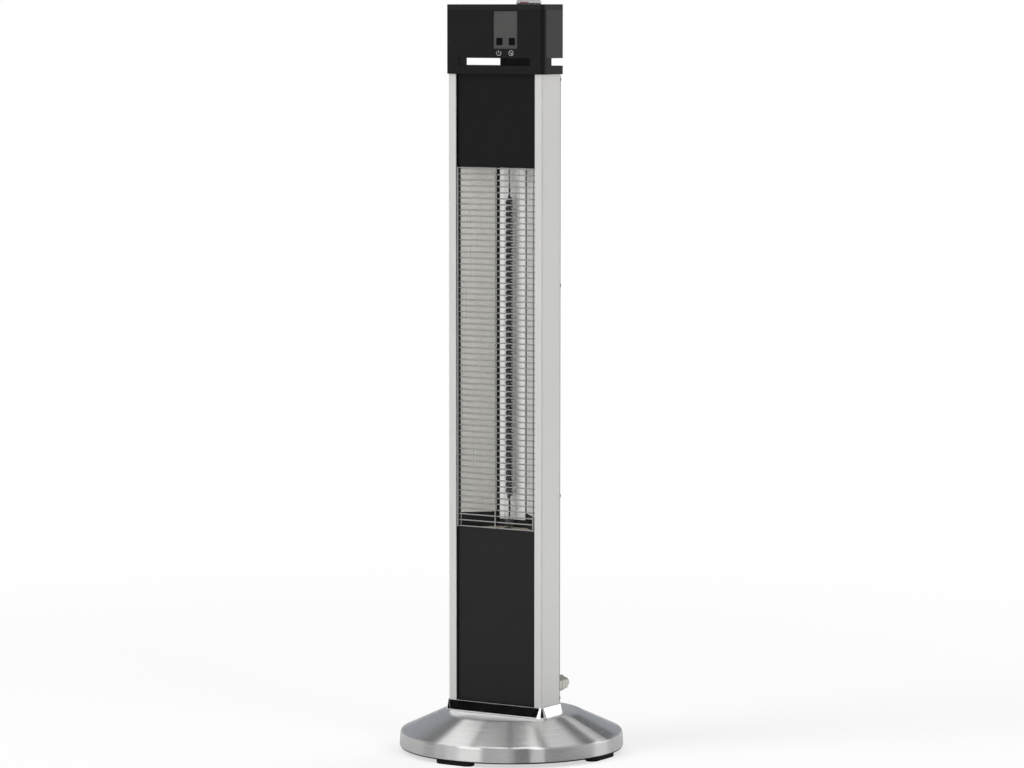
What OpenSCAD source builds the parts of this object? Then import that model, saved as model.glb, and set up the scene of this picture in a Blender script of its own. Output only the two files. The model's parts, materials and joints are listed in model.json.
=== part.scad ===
// Infrared patio heater tower: a weighted round base, a slim aluminium column with
// a caged carbon lamp in front of a bent reflector, and a control head on top.
// Millimetres. +Z is up, the heater shines towards -Y, and the origin is the centre
// of the base on the floor.

/* [Base] */
// Outer radius of the base cover at its lower edge
base_r = 150; // [130:1:180]
// How much the rim draws in from its lower to its upper edge
base_rim_draft = 1.2; // [0.5:0.1:3]
// Height of the upright rim
base_rim_h = 19.8; // [14:0.1:24]
// Radius of the flat top that the column stands on
base_top_r = 92; // [90:1:110]
// Height of the flat top above the floor
base_h = 53; // [48:1:60]
// Sheet thickness of the base cover
base_sheet = 1.2; // [0.8:0.1:2]
// Rounding where the rim meets the slope
base_shoulder_r = 5; // [2:0.5:7]
// Rounding where the slope meets the flat top
base_crown_r = 18; // [2:1:24]
// Thickness of the plate that closes the base
base_plate_t = 1.5; // [1:0.1:2.5]
// Height of the rubber feet
foot_h = 5.5; // [4:0.5:7]
// Length of a foot along the rim
foot_l = 56; // [40:1:60]
// Width of a foot
foot_w = 19; // [14:1:22]
// Distance of the ballast disc's edge inside the base cover's lower edge
ballast_inset = 32; // [28:1:50]
// Thickness of the ballast disc
ballast_t = 16; // [10:1:18]

/* [Column] */
// Width of the column
column_w = 146.6; // [130:0.2:160]
// Depth of the column
column_d = 46.2; // [44:0.2:60]
// Height of the column that shows, from the base's flat top to the head
column_h = 850.7; // [700:1:1000]
// How far the column stands in front of the base's centre
column_forward = 18.1; // [0:0.1:24]
// Wall of the aluminium side profiles
profile_wall = 1.5; // [1.2:0.1:2]
// Width of the aluminium strip on each side of the front
strip_w = 11.8; // [9:0.1:16]
// Outer corner radius of the side profiles
profile_corner_r = 2; // [1:0.1:3]
// How far the front panels lie behind the strips' faces
panel_recess = 4; // [3.5:0.1:6]
// Sheet thickness of the front panels
panel_t = 1.5; // [1:0.1:2]
// Sheet thickness of the rear cover
rear_t = 1.2; // [0.8:0.1:2]
// Height of the chrome skirt round the column's foot
skirt_h = 14.3; // [10:0.1:20]
// How far the skirt spreads from its top to its foot
skirt_flare = 4; // [2:0.1:6]
// Corner radius of the skirt at its foot
skirt_corner = 10; // [6:0.5:12]
// Wall of the skirt
skirt_t = 1; // [0.8:0.1:1.5]

/* [Grille] */
// Height of the lower front panel's top edge above the base's flat top
opening_z = 248; // [200:1:300]
// Height of the grille opening
opening_h = 479.8; // [400:1:560]
// Number of gaps between cross wires
grille_gaps = 60; // [40:1:64]
// Diameter of the cross wires
wire_d = 1.8; // [1.4:0.1:2]
// Diameter of the upright wires
upright_d = 2; // [1.6:0.1:2.4]
// Distance of the outer upright wires from the strips' inner edges
upright_inset = 2.4; // [2:0.1:16]

/* [Lamp and reflector] */
// Width of the flat back reflector
reflector_w = 40; // [34:1:46]
// Depth of the back reflector's face behind the strips
reflector_depth = 43.4; // [41:0.1:43.6]
// Sheet thickness of the reflectors
reflector_t = 0.5; // [0.4:0.1:0.8]
// Gap between the back reflector and each wing, seen from the front
wing_gap = 3.6; // [2:0.1:6]
// Outer diameter of the quartz tube
tube_d = 14; // [12:0.5:15]
// Wall of the quartz tube
tube_wall = 1; // [0.8:0.1:1.5]
// Depth of the lamp's axis behind the strips
lamp_depth = 35; // [33:0.1:35.5]
// Outer diameter of the carbon spiral
coil_d = 9.8; // [8:0.1:10.5]
// Number of turns of the carbon spiral
coil_turns = 49; // [30:1:60]
// Distance of the wound part of the spiral from each end of the opening
coil_margin = 43.9; // [20:0.1:80]
// Width of the carbon strand along the tube
strand_w = 3; // [2:0.1:4]
// Thickness of the carbon strand
strand_t = 1.5; // [1:0.1:2]

/* [Head] */
// How far the head stands out beyond the column at its front and sides
head_overhang = 2.8; // [2:0.1:4]
// How far the head stands out beyond the column at its back
head_rear_overhang = 4.5; // [2:0.1:6]
// Height of the lower flange
flange_h = 11.3; // [9:0.1:14]
// Height of the open gap between flange and housing
vent_h = 9.8; // [8:0.1:12]
// Height of the housing
housing_h = 63.4; // [58:0.1:80]
// Height of the lid
lid_h = 7.1; // [6:0.1:10]
// Wall of the head's moulded shells
shell_t = 2.2; // [1.8:0.1:2.5]
// Outer corner radius of the head
head_corner_r = 6; // [3:0.1:7]
// Distance of the ends of the head's front slot from the column's side faces
slot_inset = 17.3; // [14:0.1:28]
// Width of the duct that joins flange and housing at the back
duct_w = 47; // [44:1:60]
// How far the duct stands to the window's side of the head's middle
duct_x = 10.4; // [0:0.1:16]

/* [Controls] */
// Width of the control window
window_w = 37.3; // [34:0.1:44]
// Height of the control window
window_h = 49.5; // [40:0.1:52]
// Thickness of the control window
window_t = 1; // [0.8:0.1:1.4]
// How far the window lies behind the head's front
window_recess = 1.1; // [0.3:0.1:1.1]
// Distance of the window's middle from the head's middle
window_x = 17.3; // [0:0.1:20]
// Width of a push button
button_w = 9.2; // [8:0.1:11]
// Distance between the two buttons
button_pitch = 19.3; // [16:0.1:22]
// Travel of a push button
button_travel = 0.8; // [0.4:0.1:1]
// Length of the rocker
rocker_l = 20; // [18:0.5:22]
// Width of the rocker
rocker_w = 15; // [12:0.5:16]
// Tilt of the rocker to each side
rocker_tilt = 10; // [6:1:12]
// Distance of the switch's middle from the column's side face
switch_inset = 35.4; // [28:0.1:36]
// Height of the clear boot above the lid
boot_h = 8.2; // [7:0.1:12]

/* [Cable gland] */
// Width across the flats of the gland's hexagons
gland_af = 19; // [17:0.5:20]
// Length of the gland outside the column
gland_l = 32; // [28:0.5:36]
// Bore of the sealing insert, for the mains lead
gland_bore_d = 8.2; // [6:0.1:9]
// Distance of the gland's middle from the column's side face
gland_inset = 11.3; // [11.3:0.1:34]
// Height of the gland above the base's flat top
gland_z = 38.5; // [36:0.5:60]

/* [Hidden] */

// Facets of a full circle, and steps of a rounded corner
$fn = 48;
corner_steps = 6;
// Overrun of every cut, free gap between pieces that don't fit, and a close gap
cut = 1;
gap = 0.3;
seam = 0.1;
// Running clearance of a pin in its hole, on the radius
running = 0.05;

// Heights
rim_z = foot_h + base_plate_t;
foot_plate_t = 3;
profile_z = base_h + foot_plate_t;
head_z = base_h + column_h;
head_floor_t = 3;
flange_top = head_z + flange_h;
profile_top = flange_top - head_floor_t;
housing_z = flange_top + vent_h;
lid_z = housing_z + housing_h;
lid_top = lid_z + lid_h;
opening_bottom = base_h + opening_z;
opening_top = opening_bottom + opening_h;

// Places across the column, kept with its sides
ballast_r = base_r - ballast_inset;
upright_x = column_w / 2 - strip_w - upright_inset;
slot_w = column_w - 2 * slot_inset;
switch_x = column_w / 2 - switch_inset;
gland_x = column_w / 2 - gland_inset;
coil_l = opening_h - 2 * coil_margin;

// Depths, from the strips' faces backwards
front_y = -column_forward - column_d / 2;
rear_y = front_y + column_d;
slot_d = panel_t + seam;
rib_t = 1.2;
rib_v = panel_recess + slot_d;
rib_u = 8.2;
rear_flange_w = 7;
head_front_y = front_y - head_overhang;
head_rear_y = rear_y + head_rear_overhang;
head_w = column_w + 2 * head_overhang;
head_d = head_rear_y - head_front_y;
head_middle_y = (head_front_y + head_rear_y) / 2;

// Screw ports of the profiles: distance from the side face, and depths
port_u = 5.2;
port_r = 3.6;
port_bore_r = 2.1;
port_front_v = 12;
port_rear_inset = 8.2;
port_rear_v = column_d - port_rear_inset;
port_slit = 1.5;
port_depths = [port_front_v, port_rear_v];

// Fasteners
m6_r = 3;
m6_hole_r = 3.3;
m6_af = 10;
m6_head_h = 4;
m6_nut_h = 5;
bolt_tail = 3;
bolt_inset = 28.3;
bolt_dx = column_w / 2 - bolt_inset;
bolt_dy = 12;
tap_r = 2.05;
tap_l = 16;
tap_head_r = 4.2;
tap_head_h = 2.3;
foot_screw_r = 1.6;
foot_screw_l = 7;
foot_screw_head_r = 3.6;
foot_screw_head_h = 2;
foot_recess_r = 4.2;
foot_recess_h = 3;
cover_screw_r = 1.3;
cover_screw_l = 5;
cover_screw_head_r = 2.8;
cover_screw_head_h = 1.6;
cover_screw_u = 3.7;
cover_screw_margin = 7;
cover_screw_z_shares = [0, 0.33, 0.67, 1];
long_screw_r = 1.9;
long_screw_head_r = 3.4;
long_screw_head_h = 2.4;
long_screw_l = 32;

// Feet stand at the front, right, back and left, just inside the rim
foot_edge_gap = 2.8;
foot_place_r = base_r - foot_edge_gap - foot_w / 2;
foot_taper = 1;

function unit(v) = v / norm(v);
function turned(v) = [-v[1], v[0]];
function reversed(list) = [for (i = [len(list) - 1 : -1 : 0]) list[i]];

// Arc of radius r that rounds the corner p between a and b
function corner_arc(a, p, b, r) =
  let (
    u = unit(a - p),
    v = unit(b - p),
    half = acos(u * v) / 2,
    middle = p + unit(u + v) * r / sin(half),
    from = (p + u * r / tan(half) - middle) / r,
    to = (p + v * r / tan(half) - middle) / r,
    sweep = 180 - 2 * half
  )
  [for (i = [0 : corner_steps])
    let (s = i / corner_steps)
    middle + r * (sin((1 - s) * sweep) * from + sin(s * sweep) * to) / sin(sweep)];

// Outline through the given corners, each with its own radius
function rounded(points, radii) =
  let (n = len(points))
  [for (i = [0 : n - 1])
    each radii[i] > 0
      ? corner_arc(points[(i + n - 1) % n], points[i], points[(i + 1) % n], radii[i])
      : [points[i]]];

function rect_points(w, d) = [[-w / 2, -d / 2], [w / 2, -d / 2], [w / 2, d / 2], [-w / 2, d / 2]];

module rounded_rect(w, d, r) {
  polygon(rounded(rect_points(w, d), [r, r, r, r]));
}

module slot_shape(l, w) {
  square([l - w, w], center = true);
  for (side = [-1, 1]) translate([side * (l - w) / 2, 0]) circle(d = w);
}

// Path moved sideways by a distance, with mitred corners
function path_beside(p, d) =
  let (n = len(p))
  [for (i = [0 : n - 1])
    let (
      before = turned(unit(i > 0 ? p[i] - p[i - 1] : p[1] - p[0])),
      after = turned(unit(i < n - 1 ? p[i + 1] - p[i] : p[n - 1] - p[n - 2])),
      mitre = unit(before + after)
    )
    p[i] + mitre * d / (mitre * before)];

// Section of a folded sheet whose face follows a path
module folded_section(path, t) {
  polygon(concat(path, reversed(path_beside(path, t))));
}

// Upright piece with a plan drawn in column coordinates: x from the middle, y from the strips' faces
module upright(z, h) {
  translate([0, front_y, z]) linear_extrude(h) children();
}

module both_sides() {
  children();
  mirror([1, 0, 0]) children();
}

// Rod along Y that starts at the origin
module rod_y(r, l) {
  rotate([-90, 0, 0]) cylinder(r = r, h = l);
}

module hexagon(af, h) {
  cylinder(d = af / cos(30), h = h, $fn = 6);
}

// Tube of straight facets through a list of rings
module skin(rings) {
  sides = len(rings[0]);
  count = len(rings);
  points = [for (ring = rings) each ring];
  walls = [for (i = [0 : count - 2]) for (k = [0 : sides - 1])
    let (
      a = i * sides + k,
      b = i * sides + (k + 1) % sides
    )
    each [[a, a + sides, b], [b, a + sides, b + sides]]];
  start = [for (k = [1 : sides - 2]) [0, k, k + 1]];
  last = (count - 1) * sides;
  end = [for (k = [1 : sides - 2]) [last, last + k + 1, last + k]];
  polyhedron(points = points, faces = concat(start, walls, end), convexity = 10);
}

// Base: cover, plate, ballast, feet and fasteners

base_shoulder = [base_r - base_rim_draft, rim_z + base_rim_h];
base_slope = atan2(base_h - base_shoulder[1], base_shoulder[0] - base_top_r);
slope_drop = base_sheet / cos(base_slope);
base_inner_top_r = base_top_r + (base_sheet - slope_drop) / tan(base_slope);
base_hem_r = 0.9;
base_inner_shoulder = [
  base_shoulder[0] - base_sheet,
  base_shoulder[1] + base_sheet * tan(base_slope) - slope_drop
];

module base_bolt_places() {
  for (side = [-1, 1], way = [-1, 1])
    translate([side * bolt_dx, way * bolt_dy - column_forward, 0]) children();
}

module base_cover() {
  outer = rounded(
    [[0, rim_z], [base_r, rim_z], base_shoulder, [base_top_r, base_h], [0, base_h]],
    [0, base_hem_r, base_shoulder_r, base_crown_r, 0]);
  inner = rounded(
    [[0, rim_z - cut], [base_r - base_sheet, rim_z - cut], base_inner_shoulder,
      [base_inner_top_r, base_h - base_sheet], [0, base_h - base_sheet]],
    [0, 0, base_shoulder_r - base_sheet, base_crown_r - base_sheet, 0]);
  color([0.72, 0.71, 0.69]) difference() {
    rotate_extrude($fn = 96) difference() {
      polygon(outer);
      polygon(inner);
    }
    base_bolt_places() translate([0, 0, base_h - base_sheet - cut])
      cylinder(r = m6_hole_r, h = base_sheet + 2 * cut);
  }
}

plate_inset = 1.4;
module base_plate() {
  color([0.06, 0.06, 0.06]) difference() {
    translate([0, 0, foot_h]) cylinder(r = base_r - plate_inset, h = base_plate_t, $fn = 96);
    base_bolt_places() translate([0, 0, foot_h - cut])
      cylinder(r = m6_hole_r, h = base_plate_t + 2 * cut);
    foot_places() translate([0, 0, foot_h - cut])
      cylinder(r = foot_screw_r + running, h = base_plate_t + 2 * cut);
  }
}

// The ballast has a raised pad that carries the column's bolts
pad_margin = 14;
ballast_edge = 3;
module ballast_disc() {
  pad_h = base_h - base_sheet - rim_z;
  color([0.2, 0.2, 0.21]) difference() {
    union() {
      translate([0, 0, rim_z]) rotate_extrude($fn = 96) polygon([
        [0, 0], [ballast_r, 0], [ballast_r, ballast_t - ballast_edge],
        [ballast_r - ballast_edge, ballast_t], [0, ballast_t]]);
      translate([0, -column_forward, rim_z]) linear_extrude(pad_h)
        rounded_rect(2 * (bolt_dx + pad_margin), 2 * (bolt_dy + pad_margin), pad_margin / 2);
    }
    base_bolt_places() translate([0, 0, rim_z - cut]) cylinder(r = m6_hole_r, h = pad_h + 2 * cut);
  }
}

module foot_places() {
  for (quarter = [0 : 3]) rotate(quarter * 90) translate([0, -foot_place_r, 0]) children();
}

module rubber_feet() {
  color([0.05, 0.05, 0.05]) foot_places() difference() {
    union() {
      linear_extrude(foot_taper) slot_shape(foot_l - 2 * foot_taper, foot_w - 2 * foot_taper);
      translate([0, 0, foot_taper]) linear_extrude(foot_h - foot_taper) slot_shape(foot_l, foot_w);
    }
    translate([0, 0, -cut]) cylinder(r = foot_recess_r, h = foot_recess_h + cut);
    cylinder(r = foot_screw_r + gap, h = foot_h + cut);
  }
}

module foot_screws() {
  color([0.75, 0.75, 0.76]) foot_places() {
    translate([0, 0, foot_recess_h - foot_screw_head_h])
      cylinder(r = foot_screw_head_r, h = foot_screw_head_h);
    translate([0, 0, foot_recess_h]) cylinder(r = foot_screw_r, h = foot_screw_l);
  }
}

module base_bolts() {
  color([0.75, 0.75, 0.76]) base_bolt_places() {
    translate([0, 0, foot_h - m6_head_h]) hexagon(m6_af, m6_head_h);
    translate([0, 0, foot_h]) cylinder(r = m6_r, h = profile_z + m6_nut_h + bolt_tail - foot_h);
  }
}

module base_nuts() {
  color([0.75, 0.75, 0.76]) base_bolt_places() translate([0, 0, profile_z]) difference() {
    hexagon(m6_af, m6_nut_h);
    translate([0, 0, -cut]) cylinder(r = m6_r + running, h = m6_nut_h + 2 * cut);
  }
}

// The skirt: a spreading collar with a narrow upright lip. Its folded corners have
// three flats each, which widen towards its foot.
skirt_lip_h = 1.3;
skirt_flats = 3;
function skirt_ring(reach, r) =
  let (
    w = column_w / 2 + reach - r,
    f = column_d / 2 + reach - r,
    quarters = [[w, f], [-w, f], [-w, -f], [w, -f]]
  )
  [for (q = [0 : 3], i = [0 : skirt_flats])
    let (a = 90 * (q + i / skirt_flats))
    quarters[q] + r * [cos(a), sin(a)]];

module skirt_form(out) {
  hull() {
    translate([0, 0, -cut]) linear_extrude(skirt_lip_h + cut)
      polygon(skirt_ring(gap + skirt_flare + out, skirt_corner - skirt_t + out));
    translate([0, 0, skirt_h]) linear_extrude(cut)
      polygon(skirt_ring(gap + out, profile_corner_r + gap + out));
  }
}

module base_skirt() {
  color([0.8, 0.8, 0.82]) translate([0, -column_forward, base_h]) difference() {
    intersection() {
      skirt_form(skirt_t);
      linear_extrude(skirt_h) square([2 * column_w, 2 * column_w], center = true);
    }
    skirt_form(0);
  }
}

// Column: foot plate, side profiles, panels, rear cover

module port_places_right() {
  for (v = port_depths) translate([column_w / 2 - port_u, front_y + v, 0]) children();
}

module port_places() {
  both_sides() port_places_right() children();
}

module tap_screw() {
  cylinder(r1 = tap_head_r, r2 = tap_r, h = tap_head_h);
  cylinder(r = tap_r, h = tap_l);
}

module tap_screw_hole(depth) {
  translate([0, 0, -seam]) cylinder(r1 = tap_head_r + 2 * seam, r2 = tap_r + 2 * seam, h = tap_head_h);
  translate([0, 0, -cut]) cylinder(r = tap_r + 2 * seam, h = depth + 2 * cut);
}

module column_foot() {
  color([0.6, 0.6, 0.62]) difference() {
    translate([0, -column_forward, base_h]) linear_extrude(foot_plate_t)
      rounded_rect(column_w - 2 * seam, column_d - 2 * seam, profile_corner_r);
    base_bolt_places() translate([0, 0, base_h - cut]) cylinder(r = m6_hole_r, h = foot_plate_t + 2 * cut);
    port_places() translate([0, 0, base_h]) tap_screw_hole(foot_plate_t);
  }
}

module profile_screws() {
  color([0.7, 0.7, 0.72]) {
    port_places() translate([0, 0, base_h]) tap_screw();
    port_places() translate([0, 0, flange_top]) mirror([0, 0, 1]) tap_screw();
  }
}

// Section of the right profile, with u measured inwards from its side face
strip_edge_r = 0.6;
module profile_section() {
  outline = [[0, 0], [0, column_d], [rear_flange_w, column_d],
    [rear_flange_w, column_d - profile_wall], [profile_wall, column_d - profile_wall],
    [profile_wall, rib_v + rib_t], [rib_u, rib_v + rib_t], [rib_u, rib_v], [profile_wall, rib_v],
    [profile_wall, profile_wall], [strip_w, profile_wall], [strip_w, 0]];
  radii = [profile_corner_r, profile_corner_r, 0, 0, 0, 0, 0, 0, 0, 0, 0, strip_edge_r];
  polygon(rounded(outline, radii));
}

module side_profile() {
  h = profile_top - profile_z;
  web = port_u - profile_wall / 2;
  difference() {
    union() {
      upright(profile_z, h) translate([column_w / 2, 0]) mirror([1, 0]) profile_section();
      port_places_right() translate([0, 0, profile_z]) {
        cylinder(r = port_r, h = h);
        translate([0, -port_r / 2, 0]) cube([web, port_r, h]);
      }
    }
    port_places_right() translate([0, 0, profile_z - cut]) {
      cylinder(r = port_bore_r, h = h + 2 * cut);
      translate([-port_r - cut, -port_slit / 2, 0]) cube([port_r + cut, port_slit, h + 2 * cut]);
    }
    rear_cover_screw_places_right() translate([0, -profile_wall - cut, 0])
      rod_y(cover_screw_r + running, profile_wall + 2 * cut);
  }
}

module rear_cover_screw_places_right() {
  low = base_h + skirt_h + cover_screw_margin;
  span = head_z - cover_screw_margin - low;
  for (share = cover_screw_z_shares)
    translate([column_w / 2 - cover_screw_u, rear_y, low + share * span]) children();
}

// The right profile's rear flange is cut away round the gland
gland_room = 2.5;
module side_profile_right() {
  room = gland_af + 2 * gland_room;
  color([0.78, 0.78, 0.76]) difference() {
    side_profile();
    translate([column_w / 2 - profile_wall - room, rear_y - profile_wall, base_h + gland_z - room / 2])
      cube([room, profile_wall + cut, room]);
  }
}

module side_profile_left() {
  color([0.78, 0.78, 0.76]) mirror([1, 0, 0]) side_profile();
}

// Front panels slide in behind the strips; a lip folds back at the opening
panel_side_gap = 3;
lip_depth = 6;
lip_inset = 9.5;
module front_panel(z, h, lip_at_top) {
  w = column_w - 2 * (profile_wall + panel_side_gap);
  lip_w = column_w - 2 * (strip_w + lip_inset);
  upright(z, h) translate([-w / 2, panel_recess]) square([w, panel_t]);
  upright(lip_at_top ? z + h - panel_t : z, panel_t)
    translate([-lip_w / 2, panel_recess]) square([lip_w, panel_t + lip_depth]);
}

module front_panel_upper() {
  color([0.09, 0.09, 0.09]) front_panel(opening_top, profile_top - gap - opening_top, false);
}

module front_panel_lower() {
  color([0.12, 0.12, 0.12]) front_panel(profile_z + gap, opening_bottom - profile_z - gap, true);
}

// Rear cover with two fields of ventilation slots
rear_inset = 1;
vent_slot_l = 60;
vent_slot_w = 4;
vent_slot_pitch = 11;
vent_slots = 6;
vent_low_share = 0.12;
vent_high_share = 0.93;
module rear_cover() {
  z = base_h + skirt_h + gap;
  h = head_z - gap - z;
  color([0.1, 0.1, 0.1]) difference() {
    translate([0, rear_y, z]) rotate([90, 0, 0]) mirror([0, 0, 1]) linear_extrude(rear_t) difference() {
      translate([0, h / 2]) rounded_rect(column_w - 2 * rear_inset, h, profile_corner_r);
      for (share = [vent_low_share, vent_high_share], i = [0 : vent_slots - 1])
        translate([0, share * h + (i - (vent_slots - 1) / 2) * vent_slot_pitch])
          slot_shape(vent_slot_l, vent_slot_w);
    }
    both_sides() rear_cover_screw_places_right() translate([0, -cut, 0])
      rod_y(cover_screw_r + 2 * seam, rear_t + 2 * cut);
    gland_place() translate([0, -cut, 0]) rod_y(gland_thread_r + seam, rear_t + 2 * cut);
  }
}

module rear_cover_screws() {
  color([0.15, 0.15, 0.15]) both_sides() rear_cover_screw_places_right() {
    translate([0, rear_t, 0]) rod_y(cover_screw_head_r, cover_screw_head_h);
    translate([0, rear_t - cover_screw_l, 0]) rod_y(cover_screw_r, cover_screw_l);
  }
}

// Grille: cross wires behind the strips, upright wires welded to their fronts

wire_reach = 4.5;
weld_sink_share = 0.3;
grille_end = 1.2;
wire_v = profile_wall + seam + wire_d / 2;
upright_v = wire_v - (wire_d + upright_d) / 2 + weld_sink_share * wire_d / 2;
module grille() {
  l = column_w - 2 * (strip_w - wire_reach);
  first = opening_bottom + grille_end;
  pitch = (opening_h - 2 * grille_end) / grille_gaps;
  color([0.75, 0.75, 0.74]) {
    for (i = [0 : grille_gaps])
      translate([-l / 2, front_y + wire_v, first + i * pitch]) rotate([0, 90, 0])
        cylinder(d = wire_d, h = l);
    for (x = [-upright_x, 0, upright_x]) translate([x, front_y + upright_v, opening_bottom + gap])
      cylinder(d = upright_d, h = opening_h - 2 * gap);
  }
}

// Reflector chamber

shield_t = 0.7;
wing_front_v = 7.2;
wing_mouth_gap = 3;
wing_back_lift = 2.2;
sheet_gap = 1.1;
reflector_low = 9;
wing_low = 18.5;
shield_hook = 6.5;
shield_v = rib_v + rib_t + seam;
reflector_back_v = reflector_depth + reflector_t + sheet_gap;
wing_inner = [reflector_w / 2 + wing_gap, reflector_depth - wing_back_lift];
wing_outer = [column_w / 2 - strip_w - wing_mouth_gap, wing_front_v];
wing_way = unit(wing_outer - wing_inner);
wing_normal = turned(wing_way);
shield_shift = reflector_t + sheet_gap;
shield_line = wing_outer + wing_normal * shield_shift;
function shield_x(v) = shield_line[0] + (v - shield_line[1]) * wing_way[0] / wing_way[1];
shield_z = opening_bottom - 2 * panel_t - lip_depth;
shield_top = opening_top + 2 * panel_t + lip_depth;

module heat_shield() {
  half = [[shield_x(shield_v) + shield_hook, shield_v], [shield_x(shield_v), shield_v],
    [shield_x(reflector_back_v), reflector_back_v]];
  path = concat(half, [for (p = reversed(half)) [-p[0], p[1]]]);
  color([0.13, 0.13, 0.13]) upright(shield_z, shield_top - shield_z) folded_section(path, -shield_t);
}

module reflector_back() {
  w = reflector_w / 2;
  back = reflector_back_v;
  face = [[-w, back], [-w, reflector_depth], [w, reflector_depth], [w, back]];
  color([0.9, 0.9, 0.88]) upright(opening_bottom + reflector_low, opening_h - reflector_low + reflector_t)
    folded_section(face, reflector_t);
}

// A wing hangs higher than the back, and only its front fold runs down to the floor
module wing_sheet() {
  fold = [wing_outer, wing_outer + wing_normal * shield_shift];
  path = concat([wing_inner + wing_normal * shield_shift, wing_inner], fold);
  upright(opening_bottom + wing_low, opening_h - wing_low + reflector_t) folded_section(path, reflector_t);
  upright(opening_bottom + gap, wing_low) folded_section(fold, reflector_t);
}

module reflector_right() {
  color([0.85, 0.84, 0.8]) wing_sheet();
}

module reflector_left() {
  color([0.85, 0.84, 0.8]) mirror([1, 0, 0]) wing_sheet();
}

// Floor and top of the chamber, each seated on a front panel's lip
chamber_t = 1;
plate_gap = 0.5;
tube_clear = 1;
module chamber_plate(z) {
  wide = shield_x(shield_v) - plate_gap;
  back = reflector_back_v - plate_gap;
  narrow = shield_x(back) - plate_gap;
  front = rib_v;
  upright(z, chamber_t) difference() {
    polygon([[-wide, front], [wide, front], [wide, shield_v], [narrow, back],
      [-narrow, back], [-wide, shield_v]]);
    translate([0, lamp_depth]) circle(r = tube_d / 2 + tube_clear);
  }
}

floor_z = opening_bottom - panel_t - chamber_t;
ceiling_z = opening_top + panel_t;
module chamber_floor() {
  color([0.72, 0.7, 0.66]) chamber_plate(floor_z);
}

module chamber_top() {
  color([0.72, 0.7, 0.66]) chamber_plate(ceiling_z);
}

// Lamp

tube_pass = 10;
tube_bottom = floor_z - tube_pass;
tube_top = ceiling_z + chamber_t + tube_pass;
lamp_y = front_y + lamp_depth;
coil_bottom = (opening_bottom + opening_top - coil_l) / 2;
coil_pitch = coil_l / coil_turns;
coil_r = (coil_d - strand_t) / 2;
coil_steps = 8;
coil_sides = 6;
coil_ease = 0.75;

module quartz_tube() {
  color([0.85, 0.87, 0.88, 0.4]) translate([0, lamp_y, tube_bottom]) difference() {
    cylinder(d = tube_d, h = tube_top - tube_bottom);
    translate([0, 0, -cut]) cylinder(d = tube_d - 2 * tube_wall, h = tube_top - tube_bottom + 2 * cut);
  }
}

// Middle of the strand after a number of turns; the ends draw in to the axis
function coil_radius(turn) =
  turn < 0 ? coil_r * (1 + turn / coil_ease)
  : turn > coil_turns ? coil_r * (1 - (turn - coil_turns) / coil_ease)
  : coil_r;
function coil_point(turn) = [
  coil_radius(turn) * cos(360 * turn),
  coil_radius(turn) * sin(360 * turn),
  coil_pitch * turn
];
function strand_ring(middle, way, turn) =
  let (
    outward = [cos(360 * turn), sin(360 * turn), 0],
    along = unit(cross(way, outward))
  )
  [for (k = [0 : coil_sides - 1])
    let (a = 360 * k / coil_sides)
    middle + outward * cos(a) * strand_t / 2 + along * sin(a) * strand_w / 2];

coil_last = (coil_turns + 2 * coil_ease) * coil_steps;
coil_rings = [for (i = [0 : coil_last])
  let (
    turn = i / coil_steps - coil_ease,
    step = 1 / coil_steps,
    way = coil_point(min(turn + step, coil_turns + coil_ease)) - coil_point(max(turn - step, -coil_ease))
  )
  strand_ring(coil_point(turn), way, turn)];
coil_start = coil_point(-coil_ease) - [0, 0, strand_w];
coil_end = coil_point(coil_turns + coil_ease) + [0, 0, strand_w];
coil_all = concat(
  [strand_ring(coil_start, [0, 0, 1], -coil_ease)],
  coil_rings,
  [strand_ring(coil_end, [0, 0, 1], coil_turns + coil_ease)]);

// Least distance between a turn and the next one, measured on their points
coil_probe = floor(coil_turns / 2) * coil_steps;
coil_gap = min([for (i = [0 : coil_steps - 1], j = [coil_steps - 2 : coil_steps + 2])
  for (a = coil_rings[coil_probe + i], b = coil_rings[coil_probe + i + j]) norm(a - b)]);
echo(least_gap_between_turns = coil_gap);

module carbon_spiral() {
  color([0.05, 0.05, 0.05]) translate([0, lamp_y, coil_bottom]) skin(coil_all);
}

lead_r = 0.8;
module lamp_leads() {
  low = coil_bottom + coil_start[2];
  high = coil_bottom + coil_end[2];
  color([0.3, 0.28, 0.26]) translate([0, lamp_y, 0]) {
    translate([0, 0, tube_bottom]) cylinder(r = lead_r, h = low - tube_bottom);
    translate([0, 0, high]) cylinder(r = lead_r, h = tube_top - high);
  }
}

// Ceramic caps with a groove for the clip; drawn for the lower end
cap_wall = 2;
cap_l = 22;
cap_seat = 6;
groove_d = 1;
groove_w = 6;
groove_rise = 4;
cap_r = tube_d / 2 + cap_wall;
module end_cap() {
  low = cap_seat - cap_l;
  bottom = low + groove_rise;
  rotate_extrude() polygon([
    [0, low], [cap_r, low], [cap_r, bottom], [cap_r - groove_d, bottom],
    [cap_r - groove_d, bottom + groove_w], [cap_r, bottom + groove_w], [cap_r, cap_seat],
    [tube_d / 2 + running, cap_seat], [tube_d / 2 + running, 0], [0, 0]]);
}

module at_lamp_ends() {
  translate([0, lamp_y, tube_bottom]) children();
  translate([0, lamp_y, tube_top]) mirror([0, 0, 1]) children();
}

module lamp_end_caps() {
  color([0.9, 0.88, 0.83]) at_lamp_ends() end_cap();
}

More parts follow.
